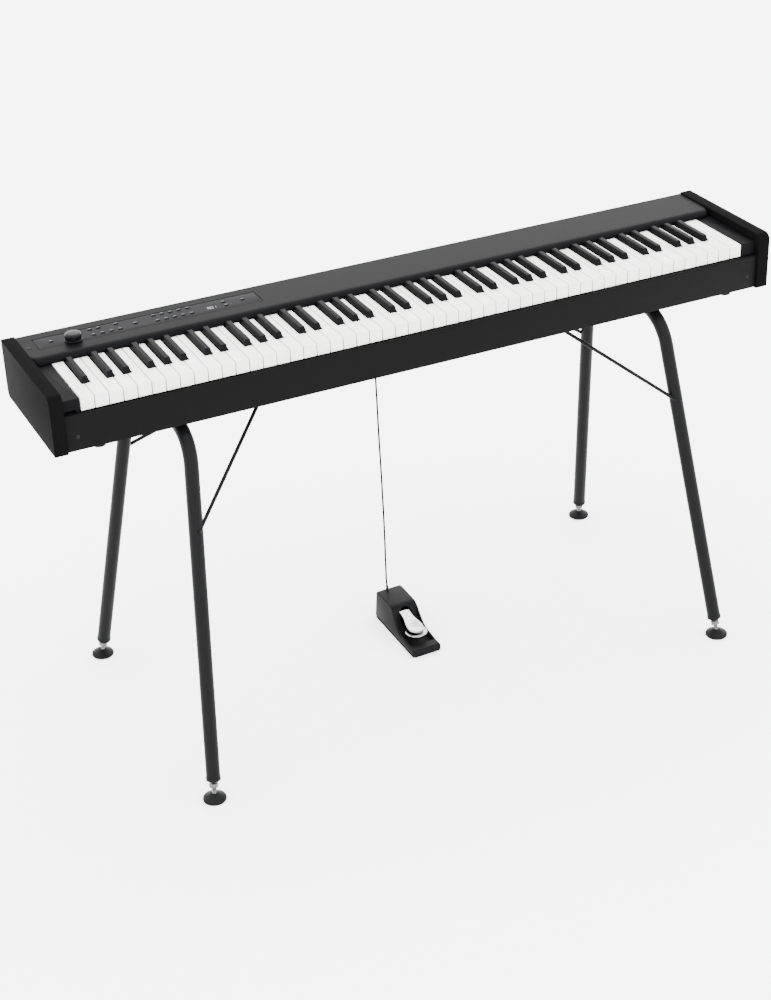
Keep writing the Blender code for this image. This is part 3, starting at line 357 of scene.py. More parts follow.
def slab(line, low, high, axis, round_low=0.0, round_high=0.0, steps=3):
    """Rings of a plate: its outline at each height, inset by a quarter circle at both edges."""
    turn = np.radians(np.linspace(0, 90, steps + 1))
    rows = [(round_low * (1 - math.sin(a)), low + round_low * (1 - math.cos(a))) for a in turn]
    rows += [(round_high * (1 - math.cos(a)), high - round_high * (1 - math.sin(a))) for a in turn]
    rings = [np.insert(inset(line, deep), 2, height, axis=1) for deep, height in rows]
    order = {"z": [0, 1, 2], "x": [2, 0, 1], "y": [0, 2, 1]}[axis]
    return np.stack(rings)[:, :, order]


def box_line(left, right, front, rear):
    """The four corners of a rectangle."""
    return [(left, front), (right, front), (right, rear), (left, rear)]


body_paint, tree, shader, where = finish("satin_black_body_paint", "#060606", 0.6, Specular_IOR_Level=0.004)
mottled(tree, shader, where, 1.6, ("#050505", "#080808"), (0.55, 0.7), 0.05)

for side in ("left", "right"):
    low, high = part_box(f"{side}_end_panel")
    corners = [
        (low.y, low.z),
        (high.y - REAR_CUT_Y, low.z),
        (high.y, low.z + REAR_CUT_Z),
        (high.y, high.z),
        (low.y, high.z),
    ]
    shape = rounded_line(corners, [TOE_ROUND, 0.001, 0.001, 0.0015, FRONT_ROUND], 9)
    solid(
        f"{side}_end_cheek",
        body_paint,
        "piano",
        [slab(shape, low.x, high.x, "x", ARRIS, ARRIS)],
        [f"{side}_end_panel"],
    )

# ---- front rail, rear and bottom ----------------------------------------------------
# The front rail is an extruded bar with a rounded upper edge. The rear and bottom boards
# are flat sheets in a matt black, screwed to the ends.

RAIL_ROUND = 0.004
rail_paint, tree, shader, where = finish("satin_black_rail_paint", "#060606", 0.4, Specular_IOR_Level=0.024)
mottled(tree, shader, where, 1.6, ("#050505", "#080808"), (0.36, 0.48), 0.04)
rail_low, rail_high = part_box("front_rail")
shape = rounded_line(
    box_line(rail_low.y, rail_high.y, rail_low.z, rail_high.z),
    [0.0008, 0.0005, 0.0005, RAIL_ROUND],
    8,
)
solid(
    "key_rail",
    rail_paint,
    "piano",
    [slab(shape, rail_low.x, rail_high.x, "x", 0.0003, 0.0003)],
    ["front_rail"],
)

board_paint, tree, shader, where = finish("matt_black_board", "#060606", 0.6, Specular_IOR_Level=0.03)
mottled(tree, shader, where, 2.5, ("#050505", "#080808"), (0.52, 0.68), 0.08)


def dress(material, slot, *names):
    """Gives these nodes of the frame, which stay as they are, one material. The slot is not used."""
    for name in names:
        node = frame["nodes"][name]
        node.data.materials.clear()
        node.data.materials.append(material)


dress(board_paint, "satin_black_panel", "rear_panel", "bottom_board")

# ---- inside the body ----------------------------------------------------------------
# Pressed steel rails that carry the keys, zinc plated, the green circuit board, and the
# gloss socket that the pedal's plug goes into.

plated, tree, shader, where = finish("bright_zinc_plate", "#4e4e50", 0.28, Metallic=1.0)
mottled(tree, shader, where, 1.5, ("#444446", "#5a5a5c"), (0.2, 0.34), 0.01)
solder_mask, tree, shader, where = finish("green_solder_mask", "#1d5a38", 0.35)
mottled(tree, shader, where, 4.0, ("#1a5233", "#22643f"), (0.3, 0.42), 0.02)
dress(plated, "black_steel", "balance_rail", "key_stop_rail")
dress(solder_mask, "circuit_board", "main_board")
dress(glossy_abs, "black_plastic", "pedal_jack")

# ---- cheek blocks -------------------------------------------------------------------
# Moulded black fillers at both ends of the keyboard, level with the white keys. The left
# one is notched at the bottom of its front for the headphone sockets.

CHEEK_ROUND = 0.0012
cheek_abs, tree, shader, where = finish("grained_black_abs", "#060607", 0.5, Specular_IOR_Level=0.02)
mottled(tree, shader, where, 1.4, ("#050506", "#080809"), (0.44, 0.58), 0.07)


def cut_from(target, shells, operation="DIFFERENCE"):
    """The target less closed shells, or what it shares with them, by an exact Boolean."""
    cutter = solid("cutter", cheek_abs, "piano", shells)
    cut = target.modifiers.new("cut", "BOOLEAN")
    cut.operation = operation
    cut.object = cutter
    bpy.context.view_layer.update()
    graph = bpy.context.evaluated_depsgraph_get()
    mesh = bpy.data.meshes.new_from_object(target.evaluated_get(graph))
    target.modifiers.clear()
    target.data = mesh
    mesh.set_sharp_from_angle(angle=math.radians(32))
    bpy.data.objects.remove(cutter)


cheeks = {}
for side in ("left", "right"):
    low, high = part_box(f"{side}_cheek_block")
    shape = rounded_line(box_line(low.x, high.x, low.y, high.y), 0.0008, 3)
    cheeks[side] = solid(
        f"{side}_key_cheek",
        cheek_abs,
        "piano",
        [slab(shape, low.z, high.z, "z", 0.0003, CHEEK_ROUND, 4)],
        [f"{side}_cheek_block"],
    )
(hole_left, hole_front, hole_low), (hole_right, hole_back, hole_high) = frame["record"]["physics"][
    "openings"
][0]["box_m"]
mouth = rounded_line(box_line(hole_left, hole_right, hole_low, hole_high), 0.0008, 3)
cut_from(cheeks["left"], [slab(mouth, hole_front - 0.005, hole_back, "y")])

# ---- headphone sockets --------------------------------------------------------------
# Two small sockets side by side at the back of the notch, each a plated bush pressed into
# the block.

SOCKET_GAP, SOCKET_RADIUS, SOCKET_BORE = 0.0095, 0.0021, 0.0016
socket_z = (hole_low + hole_high) / 2
bushes = []
for shift in (-0.5, 0.5):
    x = (hole_left + hole_right) / 2 + shift * SOCKET_GAP
    stops = np.array([0.0008, -0.0030, -0.0030, -0.0005])
    line = np.stack([0 * stops + x, hole_back + stops, 0 * stops + socket_z], -1)
    turn = np.linspace(0, 2 * np.pi, 24, endpoint=False)[None]
    radii = np.array([SOCKET_RADIUS, SOCKET_RADIUS, SOCKET_BORE, SOCKET_BORE])[:, None]
    rings = [line[:, :1] + radii * np.cos(turn), line[:, 1:2] + 0 * turn, line[:, 2:] + radii * np.sin(turn)]
    bushes.append(np.stack(rings, -1))
solid("phones_sockets", plated, "piano", bushes)

# ---- white keys ---------------------------------------------------------------------
# Injection-moulded ABS, semi-gloss and very slightly warm, one key for each note. The
# front arris is well rounded, the others just softened, and the notches fit the sharps.

WHITE_COUNT, LOW_WHITES = 52, 23
WHITE_TONES = (0, 2, 4, 5, 7, 9, 11)
FRONT_EDGE, SIDE_EDGE, FOOT_EDGE, SIDE_CLEAR = 0.0021, 0.0005, 0.0003, 0.00045
COMB_FRONT, COMB_LAP = 0.0880, 0.0002

key_low, key_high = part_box("white_key_d")
gap = key_low.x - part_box("white_key_c")[1].x
keys_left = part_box("low_white_keys")[0].x - gap / 2
pitch = -2 * keys_left / WHITE_COUNT
slot_width = 7 * pitch / 12
sharp_low, sharp_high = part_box("black_key_c_sharp")
notch = sharp_low.y - gap

white_abs, tree, shader, where = finish("semi_gloss_white_abs", "#cfcecb", 0.3)
mottled(tree, shader, where, 25.0, ("#cccbc8", "#d2d1cf"), (0.26, 0.34), 0.01, (1, 0.2, 1))


def white_edges(index):
    """Left and right edges of a white key: at its front, then beside the sharps."""
    octave, letter = divmod(index + 5, 7)
    start = keys_left + (octave * 7 - 5) * pitch
    left = keys_left + index * pitch
    right = left + pitch
    tone = WHITE_TONES[letter]
    rear_left = start + tone * slot_width if letter not in (0, 3) and index > 0 else left
    last = index == WHITE_COUNT - 1
    rear_right = start + (tone + 1) * slot_width if letter not in (2, 6) and not last else right
    clear = gap / 2 + SIDE_CLEAR
    return left + clear, right - clear, rear_left + clear, rear_right - clear


def bar_rings(y, left, right, low, high, top_round, foot_round, steps=4):
    """Rings of a bar along Y. At each y its section is a rectangle with quarter-circle corners,

    so a point is the corner's centre plus the corner's radius times (cos, sin) of its angle."""
    y, left, right, low, high, top, foot = (
        np.asarray(v, float)[:, None]
        for v in np.broadcast_arrays(y, left, right, low, high, top_round, foot_round)
    )
    degrees = np.concatenate([np.linspace(a, a + 90, steps + 1) for a in (180, 270, 0, 90)])
    side = np.repeat([-1, 1, 1, -1], steps + 1)
    level = np.repeat([-1, -1, 1, 1], steps + 1)
    radius = np.where(level > 0, top, foot)
    turn = np.radians(degrees)
    x = (left + right) / 2 + side * ((right - left) / 2 - radius) + radius * np.cos(turn)
    z = (low + high) / 2 + level * ((high - low) / 2 - radius) + radius * np.sin(turn)
    return np.stack([x, y + 0 * x, z], -1)


def white_key(index, rear):
    """Sections of one key: the top falls by a quarter circle over the front, and the sides step in."""
    left, right, rear_left, rear_right = white_edges(index)
    turn = np.radians(np.linspace(0, 90, 9))
    y = key_low.y + FRONT_EDGE * (1 - np.cos(turn))
    drop = FRONT_EDGE * (1 - np.sin(turn))
    near = np.clip(SIDE_EDGE - (y - key_low.y), 0, SIDE_EDGE)
    squeeze = SIDE_EDGE - np.sqrt(SIDE_EDGE**2 - near**2)
    y = np.r_[y, notch, notch, rear]
    drop = np.r_[drop, 0, 0, 0]
    squeeze = np.r_[squeeze, 0, 0, 0]
    front = np.arange(len(y)) < len(y) - 2
    x_left = np.where(front, left, rear_left) + squeeze
    x_right = np.where(front, right, rear_right) - squeeze
    return bar_rings(
        y, x_left, x_right, key_low.z + squeeze, key_high.z - drop, SIDE_EDGE, FOOT_EDGE
    )


def white_group(name, node, body, indexes):
    """One white key, or several joined by a bar behind the sharps."""
    shells = [white_key(i, COMB_FRONT if len(indexes) > 1 else key_high.y) for i in indexes]
    if len(indexes) > 1:
        low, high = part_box(node)
        comb = rounded_line(box_line(low.x, high.x, COMB_FRONT - COMB_LAP, high.y), 0.001, 2)
        shells.append(slab(comb, low.z + COMB_LAP, high.z - COMB_LAP, "z", FOOT_EDGE, FOOT_EDGE))
    solid(name, white_abs, body, shells, [node])


for step, letter in enumerate("cdefgab"):
    white_group(f"key_{letter}", f"white_key_{letter}", f"white_{letter}", [LOW_WHITES + step])
white_group("keys_low_whites", "low_white_keys", "low_whites", list(range(LOW_WHITES)))
high_start = LOW_WHITES + 7
white_group("keys_high_whites", "high_white_keys", "high_whites", list(range(high_start, WHITE_COUNT)))

# ---- black keys ---------------------------------------------------------------------
# Matt black ABS with a fine grain along each key. The sides draw in towards the top, the
# front leans back, and the body under the cap is a plain block.

BLACK_TONES = (1, 3, 6, 8, 10)
OWN_OCTAVE = 4
CAP_LONG, CAP_LAP, CAP_SLOPE = 0.087, 0.0010, 0.0045
CAP_TOP_HALF, CAP_ROUND, CAP_CORNER = 0.0045, 0.0011, 0.0013
BODY_INSET, POST_LONG, BAR_LONG = 0.0006, 0.005, 0.0135
BAR_LOW, BAR_HIGH, BLACK_REAR = 0.0012, 0.0044, 0.0963

black_abs, tree, shader, where = finish("matt_grained_black_abs", "#060607", 0.5, Specular_IOR_Level=0.03)
mottled(tree, shader, where, 0.7, ("#050506", "#080809"), (0.44, 0.58), 0.03, (1, 0.12, 1))


def black_cap(x):
    """Stacked outlines of one cap. With s the share of the height, the half width falls by

    s^0.8 of the narrowing, the front moves back by s of the slope, and the top edge is a
    quarter circle."""
    half = (sharp_high.x - sharp_low.x) / 2
    low, top = key_high.z - CAP_LAP, sharp_high.z
    share = np.r_[np.linspace(0, 1, 6)]
    height = low + (top - CAP_ROUND - low) * share
    turn = np.radians(np.linspace(15, 90, 6))
    share = np.r_[share, np.ones(6)]
    height = np.r_[height, top - CAP_ROUND * (1 - np.sin(turn))]
    shrink = np.r_[np.zeros(6), CAP_ROUND * (1 - np.cos(turn))]
    rings = []
    for s, z, deep in zip(share, height, shrink):
        wide = half - (half - CAP_TOP_HALF) * s**0.8
        front = sharp_low.y + CAP_SLOPE * s
        corners = box_line(x - wide, x + wide, front, sharp_low.y + CAP_LONG)
        line = rounded_line(corners, [CAP_CORNER, CAP_CORNER, 0.0008, 0.0008], 4)
        rings.append(np.insert(inset(line, deep), 2, z, axis=1))
    return np.stack(rings)


def block_rings(low, high, edge=0.0002):
    """A box between two corners with barely softened edges."""
    line = rounded_line(box_line(low[0], high[0], low[1], high[1]), edge, 2)
    return slab(line, low[2], high[2], "z", edge, edge, 2)


def black_group(name, node, body, keys):
    """One black key, or several joined by a bar that passes over the whites, under the cover."""
    half = (sharp_high.x - sharp_low.x) / 2 - BODY_INSET
    rear = BLACK_REAR if len(keys) > 1 else sharp_high.y
    rear = min(rear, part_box(node)[1].y)
    bodies_front = rear - BAR_LONG + BODY_INSET
    shells = []
    centres = [keys_left + (o * 7 - 5) * pitch + (tone + 0.5) * slot_width for o, tone in keys]
    for x in centres:
        shells.append(black_cap(x))
        end = bodies_front + POST_LONG if len(keys) > 1 else rear
        front = sharp_low.y + BODY_INSET
        shells.append(block_rings((x - half, front, key_low.z), (x + half, end, key_high.z - CAP_LAP / 3)))
        if len(keys) > 1:
            post_low = (x - half, end - POST_LONG, key_high.z - 1.5 * CAP_LAP)
            shells.append(block_rings(post_low, (x + half, end, key_high.z + BAR_HIGH - CAP_LAP / 2)))
    if len(keys) > 1:
        bar_low = (centres[0] - half, bodies_front, key_high.z + BAR_LOW)
        bar_high = (centres[-1] + half, rear, key_high.z + BAR_HIGH)
        shells.append(block_rings(bar_low, bar_high))
    solid(name, black_abs, body, shells, [node])


sharps = [(o, tone) for o in range(8) for tone in BLACK_TONES if (o, tone) > (0, 9)]
black_group("keys_low_blacks", "low_black_keys", "low_blacks", [k for k in sharps if k[0] < OWN_OCTAVE])
black_group("keys_high_blacks", "high_black_keys", "high_blacks", [k for k in sharps if k[0] > OWN_OCTAVE])
for tone, letter in zip(BLACK_TONES, "cdfga"):
    own = [(OWN_OCTAVE, tone)]
    black_group(f"key_{letter}_sharp", f"black_key_{letter}_sharp", f"black_{letter}_sharp", own)

# ---- cover --------------------------------------------------------------------------
# The long top over the rear of the keys: sheet painted satin black, rolled down along
# its front in a quarter ellipse, its front corners rounded, with an opening for the panel.

LIP_DEPTH, LIP_HEIGHT, COVER_THICK = 0.0127, 0.0105, 0.003
CORNER_RADIUS = 0.012
BLEND_START, BLEND_END = 0.045, 0.085
PANEL_LEFT, PANEL_RIGHT, PANEL_FRONT, PANEL_REAR = -0.6180, -0.2299, 0.0609, 0.1041
PANEL_RADIUS, PANEL_GROOVE = 0.003, 0.0009

cover_paint, tree, shader, where = finish(
    "satin_black_cover_paint", "#060607", 0.45, Specular_IOR_Level=0.018
)
mottled(tree, shader, where, 1.2, ("#050506", "#080809"), (0.4, 0.52), 0.02)

cover_low, cover_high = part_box("top_cover")
turn = np.radians(np.linspace(180, 90, 17))
shoulder_y, shoulder_z = cover_low.y + LIP_DEPTH, cover_high.z - LIP_HEIGHT
outer = np.stack([shoulder_y + LIP_DEPTH * np.cos(turn), shoulder_z + LIP_HEIGHT * np.sin(turn)], -1)
deep, tall = LIP_DEPTH - COVER_THICK, LIP_HEIGHT - COVER_THICK
inner = np.stack([shoulder_y + deep * np.cos(turn), shoulder_z + tall * np.sin(turn)], -1)
flat_y = np.linspace(BLEND_START, cover_high.y, 12)
flat = np.stack([flat_y, 0 * flat_y + cover_high.z], -1)
section = np.vstack([outer, flat, flat[::-1] - (0, COVER_THICK), inner[::-1]])
bend = np.radians(np.linspace(0, 86, 12))
along = np.r_[0.0, cover_high.x - CORNER_RADIUS * (1 - np.sin(bend))]
setback = np.r_[0.0, CORNER_RADIUS * (1 - np.cos(bend))]
along = np.r_[-along[:0:-1], along, cover_high.x]
setback = np.r_[setback[:0:-1], setback, setback[-1]]
along = np.r_[cover_low.x, along]
setback = np.r_[setback[0], setback]
weight = np.clip((BLEND_END - section[:, 0]) / (BLEND_END - BLEND_START), 0, 1)
weight = weight**2 * (3 - 2 * weight)
y = section[None, :, 0] + setback[:, None] * weight[None]
rings = np.stack([along[:, None] + 0 * y, y, section[None, :, 1] + 0 * y], -1)
cover = solid("long_cover", cover_paint, "piano", [rings], ["top_cover"])
opening = box_line(
    PANEL_LEFT - PANEL_GROOVE,
    PANEL_RIGHT + PANEL_GROOVE,
    PANEL_FRONT - PANEL_GROOVE,
    PANEL_REAR + PANEL_GROOVE,
)
opening = rounded_line(opening, PANEL_RADIUS, 6)
cut_from(cover, [slab(opening, cover_high.z - 0.01, cover_high.z + 0.01, "z")])

# ---- felt ---------------------------------------------------------------------------
# A dark grey felt strip under the lip, glued to the inside of the cover, which keeps dust
# from the keys.

FELT_FRONT, FELT_REAR, FELT_LOW, FELT_HIGH = 0.0268, 0.0300, 0.7131, 0.7190
felt, tree, shader, where = finish("grey_felt", "#0f0f10", 0.95, Specular_IOR_Level=0.03)
mottled(tree, shader, where, 1.5, ("#0c0c0d", "#131314"), (0.9, 1.0), 0.3)
solid(
    "dust_felt",
    felt,
    "piano",
    [block_rings((keys_left, FELT_FRONT, FELT_LOW), (-keys_left, FELT_REAR, FELT_HIGH), 0.0004)],
)

# ---- screws -------------------------------------------------------------------------
# Small black pan-head machine screws with a cross recess, at the ends of the front rail
# and of the cover.

SCREW_RADIUS, SCREW_RISE = 0.0030, 0.0007
CROSS_LONG, CROSS_WIDE, CROSS_DEEP = 0.0017, 0.0004, 0.0010
RAIL_SCREW_IN, RAIL_SCREW_Z = 0.0180, 0.6523
COVER_SCREW_IN, COVER_SCREW_Y = 0.0090, 0.0760

screw_steel, tree, shader, where = finish("blackened_screw_steel", "#0a0a0b", 0.4, Specular_IOR_Level=0.03)
mottled(tree, shader, where, 1.0, ("#141416", "#1c1c1e"), (0.34, 0.46), 0.02)


def screw(name, place, forward):
    """A domed head with a cross cut into it, its face towards -Y if forward, or else +Z."""
    head = [(0, -0.0004), (SCREW_RADIUS, -0.0004), (SCREW_RADIUS, SCREW_RISE * 0.4)]
    head += [(SCREW_RADIUS * 0.85, SCREW_RISE * 0.8), (SCREW_RADIUS * 0.45, SCREW_RISE), (0, SCREW_RISE)]
    made = solid(name, screw_steel, "piano", [turned(head, (0, 0, 0), 24)])
    for a, b in ((CROSS_LONG, CROSS_WIDE), (CROSS_WIDE, CROSS_LONG)):
        cut_from(made, [block_rings((-a, -b, SCREW_RISE - CROSS_DEEP), (a, b, 0.003), 0.0001)])
    points = np.zeros(3 * len(made.data.vertices))
    made.data.vertices.foreach_get("co", points)
    points = points.reshape(-1, 3)
    if forward:
        points = points[:, [0, 2, 1]] * (1, -1, 1)
    made.data.vertices.foreach_set("co", (points + place).ravel())
    made.data.update()


for side, sign in (("left", -1), ("right", 1)):
    x = sign * (rail_high.x - RAIL_SCREW_IN)
    screw(f"{side}_rail_screw", (x, rail_low.y, RAIL_SCREW_Z), True)
    x = sign * (cover_high.x - COVER_SCREW_IN)
    screw(f"{side}_cover_screw", (x, COVER_SCREW_Y, cover_high.z), False)

# ---- control panel ------------------------------------------------------------------
# A grey panel with a printed film, set in the cover's opening with a thin groove round
# it. It is pierced for the buttons, and its display shows through the film.

BUTTON_PITCH, BUTTON_CLEAR = 0.01508, 0.0004
UPPER_ROW, LOWER_ROW, MIDDLE_ROW = 0.0965, 0.0743, 0.0832
SOUND_START, PROGRAM_START = -0.5224, -0.4122
PLACES = {
    "sound": [
        *[(SOUND_START + i * BUTTON_PITCH, UPPER_ROW) for i in (0, 1, 3)],
        *[(SOUND_START + i * BUTTON_PITCH, LOWER_ROW) for i in range(4)],
        (-0.4477, MIDDLE_ROW),
    ],
    "program": [(PROGRAM_START + i * BUTTON_PITCH, row) for row in (UPPER_ROW, LOWER_ROW) for i in range(5)],
    "step": [(-0.2898, 0.0903), (-0.2898, 0.0758), (-0.2576, 0.0841)],
    "power": [(-0.5919, MIDDLE_ROW)],
}
BUTTON_HALF_X, BUTTON_HALF_Y, BUTTON_RISE = 0.0035, 0.0018, 0.0007
PANEL_DROP, PANEL_DEEP = 0.0003, 0.0040

panel_film, tree, shader, where = finish("printed_grey_film", "#09090a", 0.45, Specular_IOR_Level=0.022)
mottled(tree, shader, where, 0.9, ("#08080a", "#0b0b0c"), (0.4, 0.5), 0.01)
face = cover_high.z - PANEL_DROP
shape = rounded_line(box_line(PANEL_LEFT, PANEL_RIGHT, PANEL_FRONT, PANEL_REAR), PANEL_RADIUS, 6)
panel = solid(
    "panel_plate",
    panel_film,
    "piano",
    [slab(shape, face - PANEL_DEEP, face, "z", 0.0002, 0.0003)],
    ["control_panel", "display_window"],
)
half_x, half_y = BUTTON_HALF_X + BUTTON_CLEAR, BUTTON_HALF_Y + BUTTON_CLEAR
cut_from(
    panel,
    [
        block_rings((x - half_x, y - half_y, face - 0.01), (x + half_x, y + half_y, face + 0.01), 0.0006)
        for places in PLACES.values()
        for x, y in places
    ],
)

# ---- buttons ------------------------------------------------------------------------
# Small moulded black buttons with rounded tops, in four sets. Each set stands on its own
# web under the panel and comes up through its holes.

button_abs, tree, shader, where = finish("matt_black_button_abs", "#050506", 0.5, Specular_IOR_Level=0.03)
mottled(tree, shader, where, 0.8, ("#040405", "#070708"), (0.44, 0.56), 0.02)
for group, places in PLACES.items():
    node = f"{group}_button" if group == "power" else f"{group}_buttons"
    web_low, web_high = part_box(node)
    low = web_low.z + 0.0005
    shells = [
        slab(
            rounded_line(
                box_line(x - BUTTON_HALF_X, x + BUTTON_HALF_X, y - BUTTON_HALF_Y, y + BUTTON_HALF_Y),
                0.0006,
                4,
            ),
            low,
            cover_high.z + BUTTON_RISE,
            "z",
            0.0002,
            0.0005,
        )
        for x, y in places
    ]
    shells.append(block_rings(web_low, (web_high.x, web_high.y, web_low.z + 0.001)))
    solid(f"{group}_button_caps", button_abs, node, shells, [node])

# ---- panel printing -----------------------------------------------------------------
# Pale ink: a plain dash behind each button. The display is three seven-bar figures, which
# glow a dull grey through the film.

INK_THICK = 0.00012
DASH_HALF, DASH_WIDE, DASH_BEHIND = 0.0026, 0.0004, 0.0042
DIGIT_LEFT, DIGIT_STEP, DIGIT_WIDE, DIGIT_TALL, DIGIT_BAR = -0.3227, 0.0056, 0.0040, 0.0076, 0.0006
DIGIT_FRONT = 0.0750
FIGURES = ((0, 1, 2, 3, 4, 5), (0, 1, 2, 3, 4, 5), (1, 2))

ink, tree, shader, where = finish("pale_legend_ink", "#6e6f71", 0.55, Specular_IOR_Level=0.1)
mottled(tree, shader, where, 0.6, ("#68696b", "#747577"), (0.5, 0.62), 0.005)
low, high = face - INK_THICK, face + INK_THICK
dashes = [
    block_rings(
        (x - DASH_HALF, y + DASH_BEHIND - DASH_WIDE, low),
        (x + DASH_HALF, y + DASH_BEHIND + DASH_WIDE, high),
        0.00004,
    )
    for places in PLACES.values()
    for x, y in places
]
solid("panel_legends", ink, "piano", dashes)

glow, tree, shader, where = finish("display_bars", "#8a8c8f", 0.5, Specular_IOR_Level=0.1)
mottled(tree, shader, where, 0.6, ("#848689", "#909295"), (0.45, 0.55), 0.005)
half_tall = DIGIT_TALL / 2
BARS = (
    (0, DIGIT_TALL - DIGIT_BAR, DIGIT_WIDE, DIGIT_TALL),
    (DIGIT_WIDE - DIGIT_BAR, half_tall + 0.0002, DIGIT_WIDE, DIGIT_TALL - 0.001),
    (DIGIT_WIDE - DIGIT_BAR, 0.001, DIGIT_WIDE, half_tall - 0.0002),
    (0, 0, DIGIT_WIDE, DIGIT_BAR),
    (0, 0.001, DIGIT_BAR, half_tall - 0.0002),
    (0, half_tall + 0.0002, DIGIT_BAR, DIGIT_TALL - 0.001),
)
bars = [
    block_rings(
        (DIGIT_LEFT + place * DIGIT_STEP + BARS[bar][0], DIGIT_FRONT + BARS[bar][1], low),
        (DIGIT_LEFT + place * DIGIT_STEP + BARS[bar][2], DIGIT_FRONT + BARS[bar][3], high),
        0.00004,
    )
    for place, figure in enumerate(FIGURES)
    for bar in figure
]
solid("display_figures", glow, "piano", bars)

# ---- volume knob --------------------------------------------------------------------
# Gloss black ABS knob, turned, with a domed top over a slightly wider skirt. It is pushed
# onto a shaft that goes through the panel.

KNOB_HEIGHT, KNOB_DOME, SKIRT_HEIGHT = 0.0142, 0.0052, 0.0028
KNOB_TAPER, DOME_SHARE, SHAFT_RADIUS = 0.94, 0.8, 0.003
knob_low, knob_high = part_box("volume_knob")
knob_x, knob_y = (knob_low.x + knob_high.x) / 2, (knob_low.y + knob_high.y) / 2
knob_base = knob_high.z - KNOB_HEIGHT
knob_radius = (knob_high.x - knob_low.x) / 2
turn = np.radians(np.linspace(0, 90, 9))
dome_r = knob_radius * KNOB_TAPER - KNOB_DOME + KNOB_DOME * np.cos(turn)
dome_z = KNOB_HEIGHT - 0.0006 - KNOB_DOME * DOME_SHARE + KNOB_DOME * DOME_SHARE * np.sin(turn)
profile = [
    (0, knob_low.z - knob_base),
    (SHAFT_RADIUS, knob_low.z - knob_base),
    (SHAFT_RADIUS, 0),
    (knob_radius - 0.0006, 0),
    (knob_radius, 0.0006),
    (knob_radius, SKIRT_HEIGHT - 0.0004),
    (knob_radius - 0.0004, SKIRT_HEIGHT),
    (knob_radius * KNOB_TAPER, SKIRT_HEIGHT + 0.0002),
    *zip(dome_r, dome_z),
    (knob_radius * 0.3, KNOB_HEIGHT - 0.0002),
    (0, KNOB_HEIGHT),
]
knob = turned(profile, (knob_x, knob_y, knob_base), 64)
solid("level_knob", glossy_abs, "volume_knob", [knob], ["volume_knob"])

# ---- stand --------------------------------------------------------------------------
# Two frames of 24 mm steel tube, powder coated satin black. Each has two legs that bend
# out of its top and splay down to the feet, a plate screwed to the body and two braces.

TUBE_RADIUS, BEND_RADIUS, TUBE_END = 0.012, 0.065, 0.037
FRAME_TOP, BALL_HEIGHT, FRAME_GAP = 0.6125, 0.008, 0.0004
BRACE_RADIUS, BRACE_DROP, BRACE_PAD, BRACE_OUT = 0.0032, 0.1535, 0.014, 0.0125
BRACE_MEET_X, BRACE_MEET_Y = 0.264, 0.009

coat, tree, shader, where = finish("satin_black_powder_coat", "#070708", 0.42, Specular_IOR_Level=0.045)
mottled(tree, shader, where, 0.9, ("#060607", "#09090a"), (0.36, 0.48), 0.04)
dress(coat, "black_steel", "left_mount_plate", "right_mount_plate")

lines = {}
for joint in frame["joints"]:
    if joint["name"].endswith("_foot_screw"):
        leg_name = joint["child"].removesuffix("_foot")
        low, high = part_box(joint["child"])
        ball = np.array([(low.x + high.x) / 2, (low.y + high.y) / 2, BALL_HEIGHT])
        down = np.array(joint["axis"])
        lines[leg_name] = (ball, down / np.linalg.norm(down))


def on_leg(leg_name, height):
    """The point of a leg's centre line at a height."""
    ball, down = lines[leg_name]
    return ball + down * (height - ball[2]) / down[2]


def unit(vector):
    """The vector divided by its length."""
    return vector / np.linalg.norm(vector)


for leg_name in lines:
    side, end = leg_name.split("_")
    other = f"{side}_{'rear' if end == 'front' else 'front'}"
    corner = on_leg(leg_name, FRAME_TOP)
    centre = (corner + on_leg(other, FRAME_TOP)) / 2
    tip = on_leg(leg_name, TUBE_END)
    start = centre + unit(corner - centre) * FRAME_GAP
    bent = math.acos(float(unit(start - corner) @ unit(tip - corner)))
    run = BEND_RADIUS / math.tan(bent / 2)
    line = rounded_line([start, corner, tip], run, 14, closed=False)
    solid(
        f"{leg_name}_tube",
        coat,
        "piano",
        [sweep(line, TUBE_RADIUS, (1, 0, 0), 32)],
        [f"{leg_name}_leg"],
    )

# ---- braces -------------------------------------------------------------------------
# Thin rods from each leg up and inwards to the underside, where their flattened ends are
# screwed on.

for leg_name in lines:
    inward = 1 if leg_name.startswith("left") else -1
    _, meet_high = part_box(f"{leg_name}_brace")
    axis_point = on_leg(leg_name, FRAME_TOP - BRACE_DROP)
    outward = -1 if leg_name.endswith("front") else 1
    meet_z = meet_high.z - BRACE_RADIUS
    meet = np.array([-inward * BRACE_MEET_X, outward * BRACE_MEET_Y, meet_z])
    pad = np.array([inward * BRACE_PAD, 0, 0])
    start = axis_point + np.array([0, outward * BRACE_OUT, 0])
    line = rounded_line([start, meet + pad, meet - pad], 0.004, 5, closed=False)
    solid(
        f"{leg_name}_brace_rod",
        coat,
        "piano",
        [sweep(line, BRACE_RADIUS, (0, 1, 0), 16)],
        [f"{leg_name}_brace"],
    )

# ---- feet ---------------------------------------------------------------------------
# Screw feet: a plastic collar closes the tube, and a zinc-plated stud with a lock nut
# carries a coned disc of black plastic that lies flat on the floor.

STUD_RADIUS, THREAD_DEEP, THREAD_PITCH, STUD_DEPTH = 0.0040, 0.0004, 0.00125, 0.020
NUT_RADIUS, NUT_HEIGHT, NUT_THICK = 0.0085, 0.0265, 0.008
COLLAR_RADIUS, COLLAR_LONG, COLLAR_LAP = 0.0126, 0.0070, 0.0045

foot_plastic, tree, shader, where = finish("black_foot_plastic", "#070708", 0.5, Specular_IOR_Level=0.05)
mottled(tree, shader, where, 1.5, ("#060607", "#09090a"), (0.44, 0.56), 0.05)

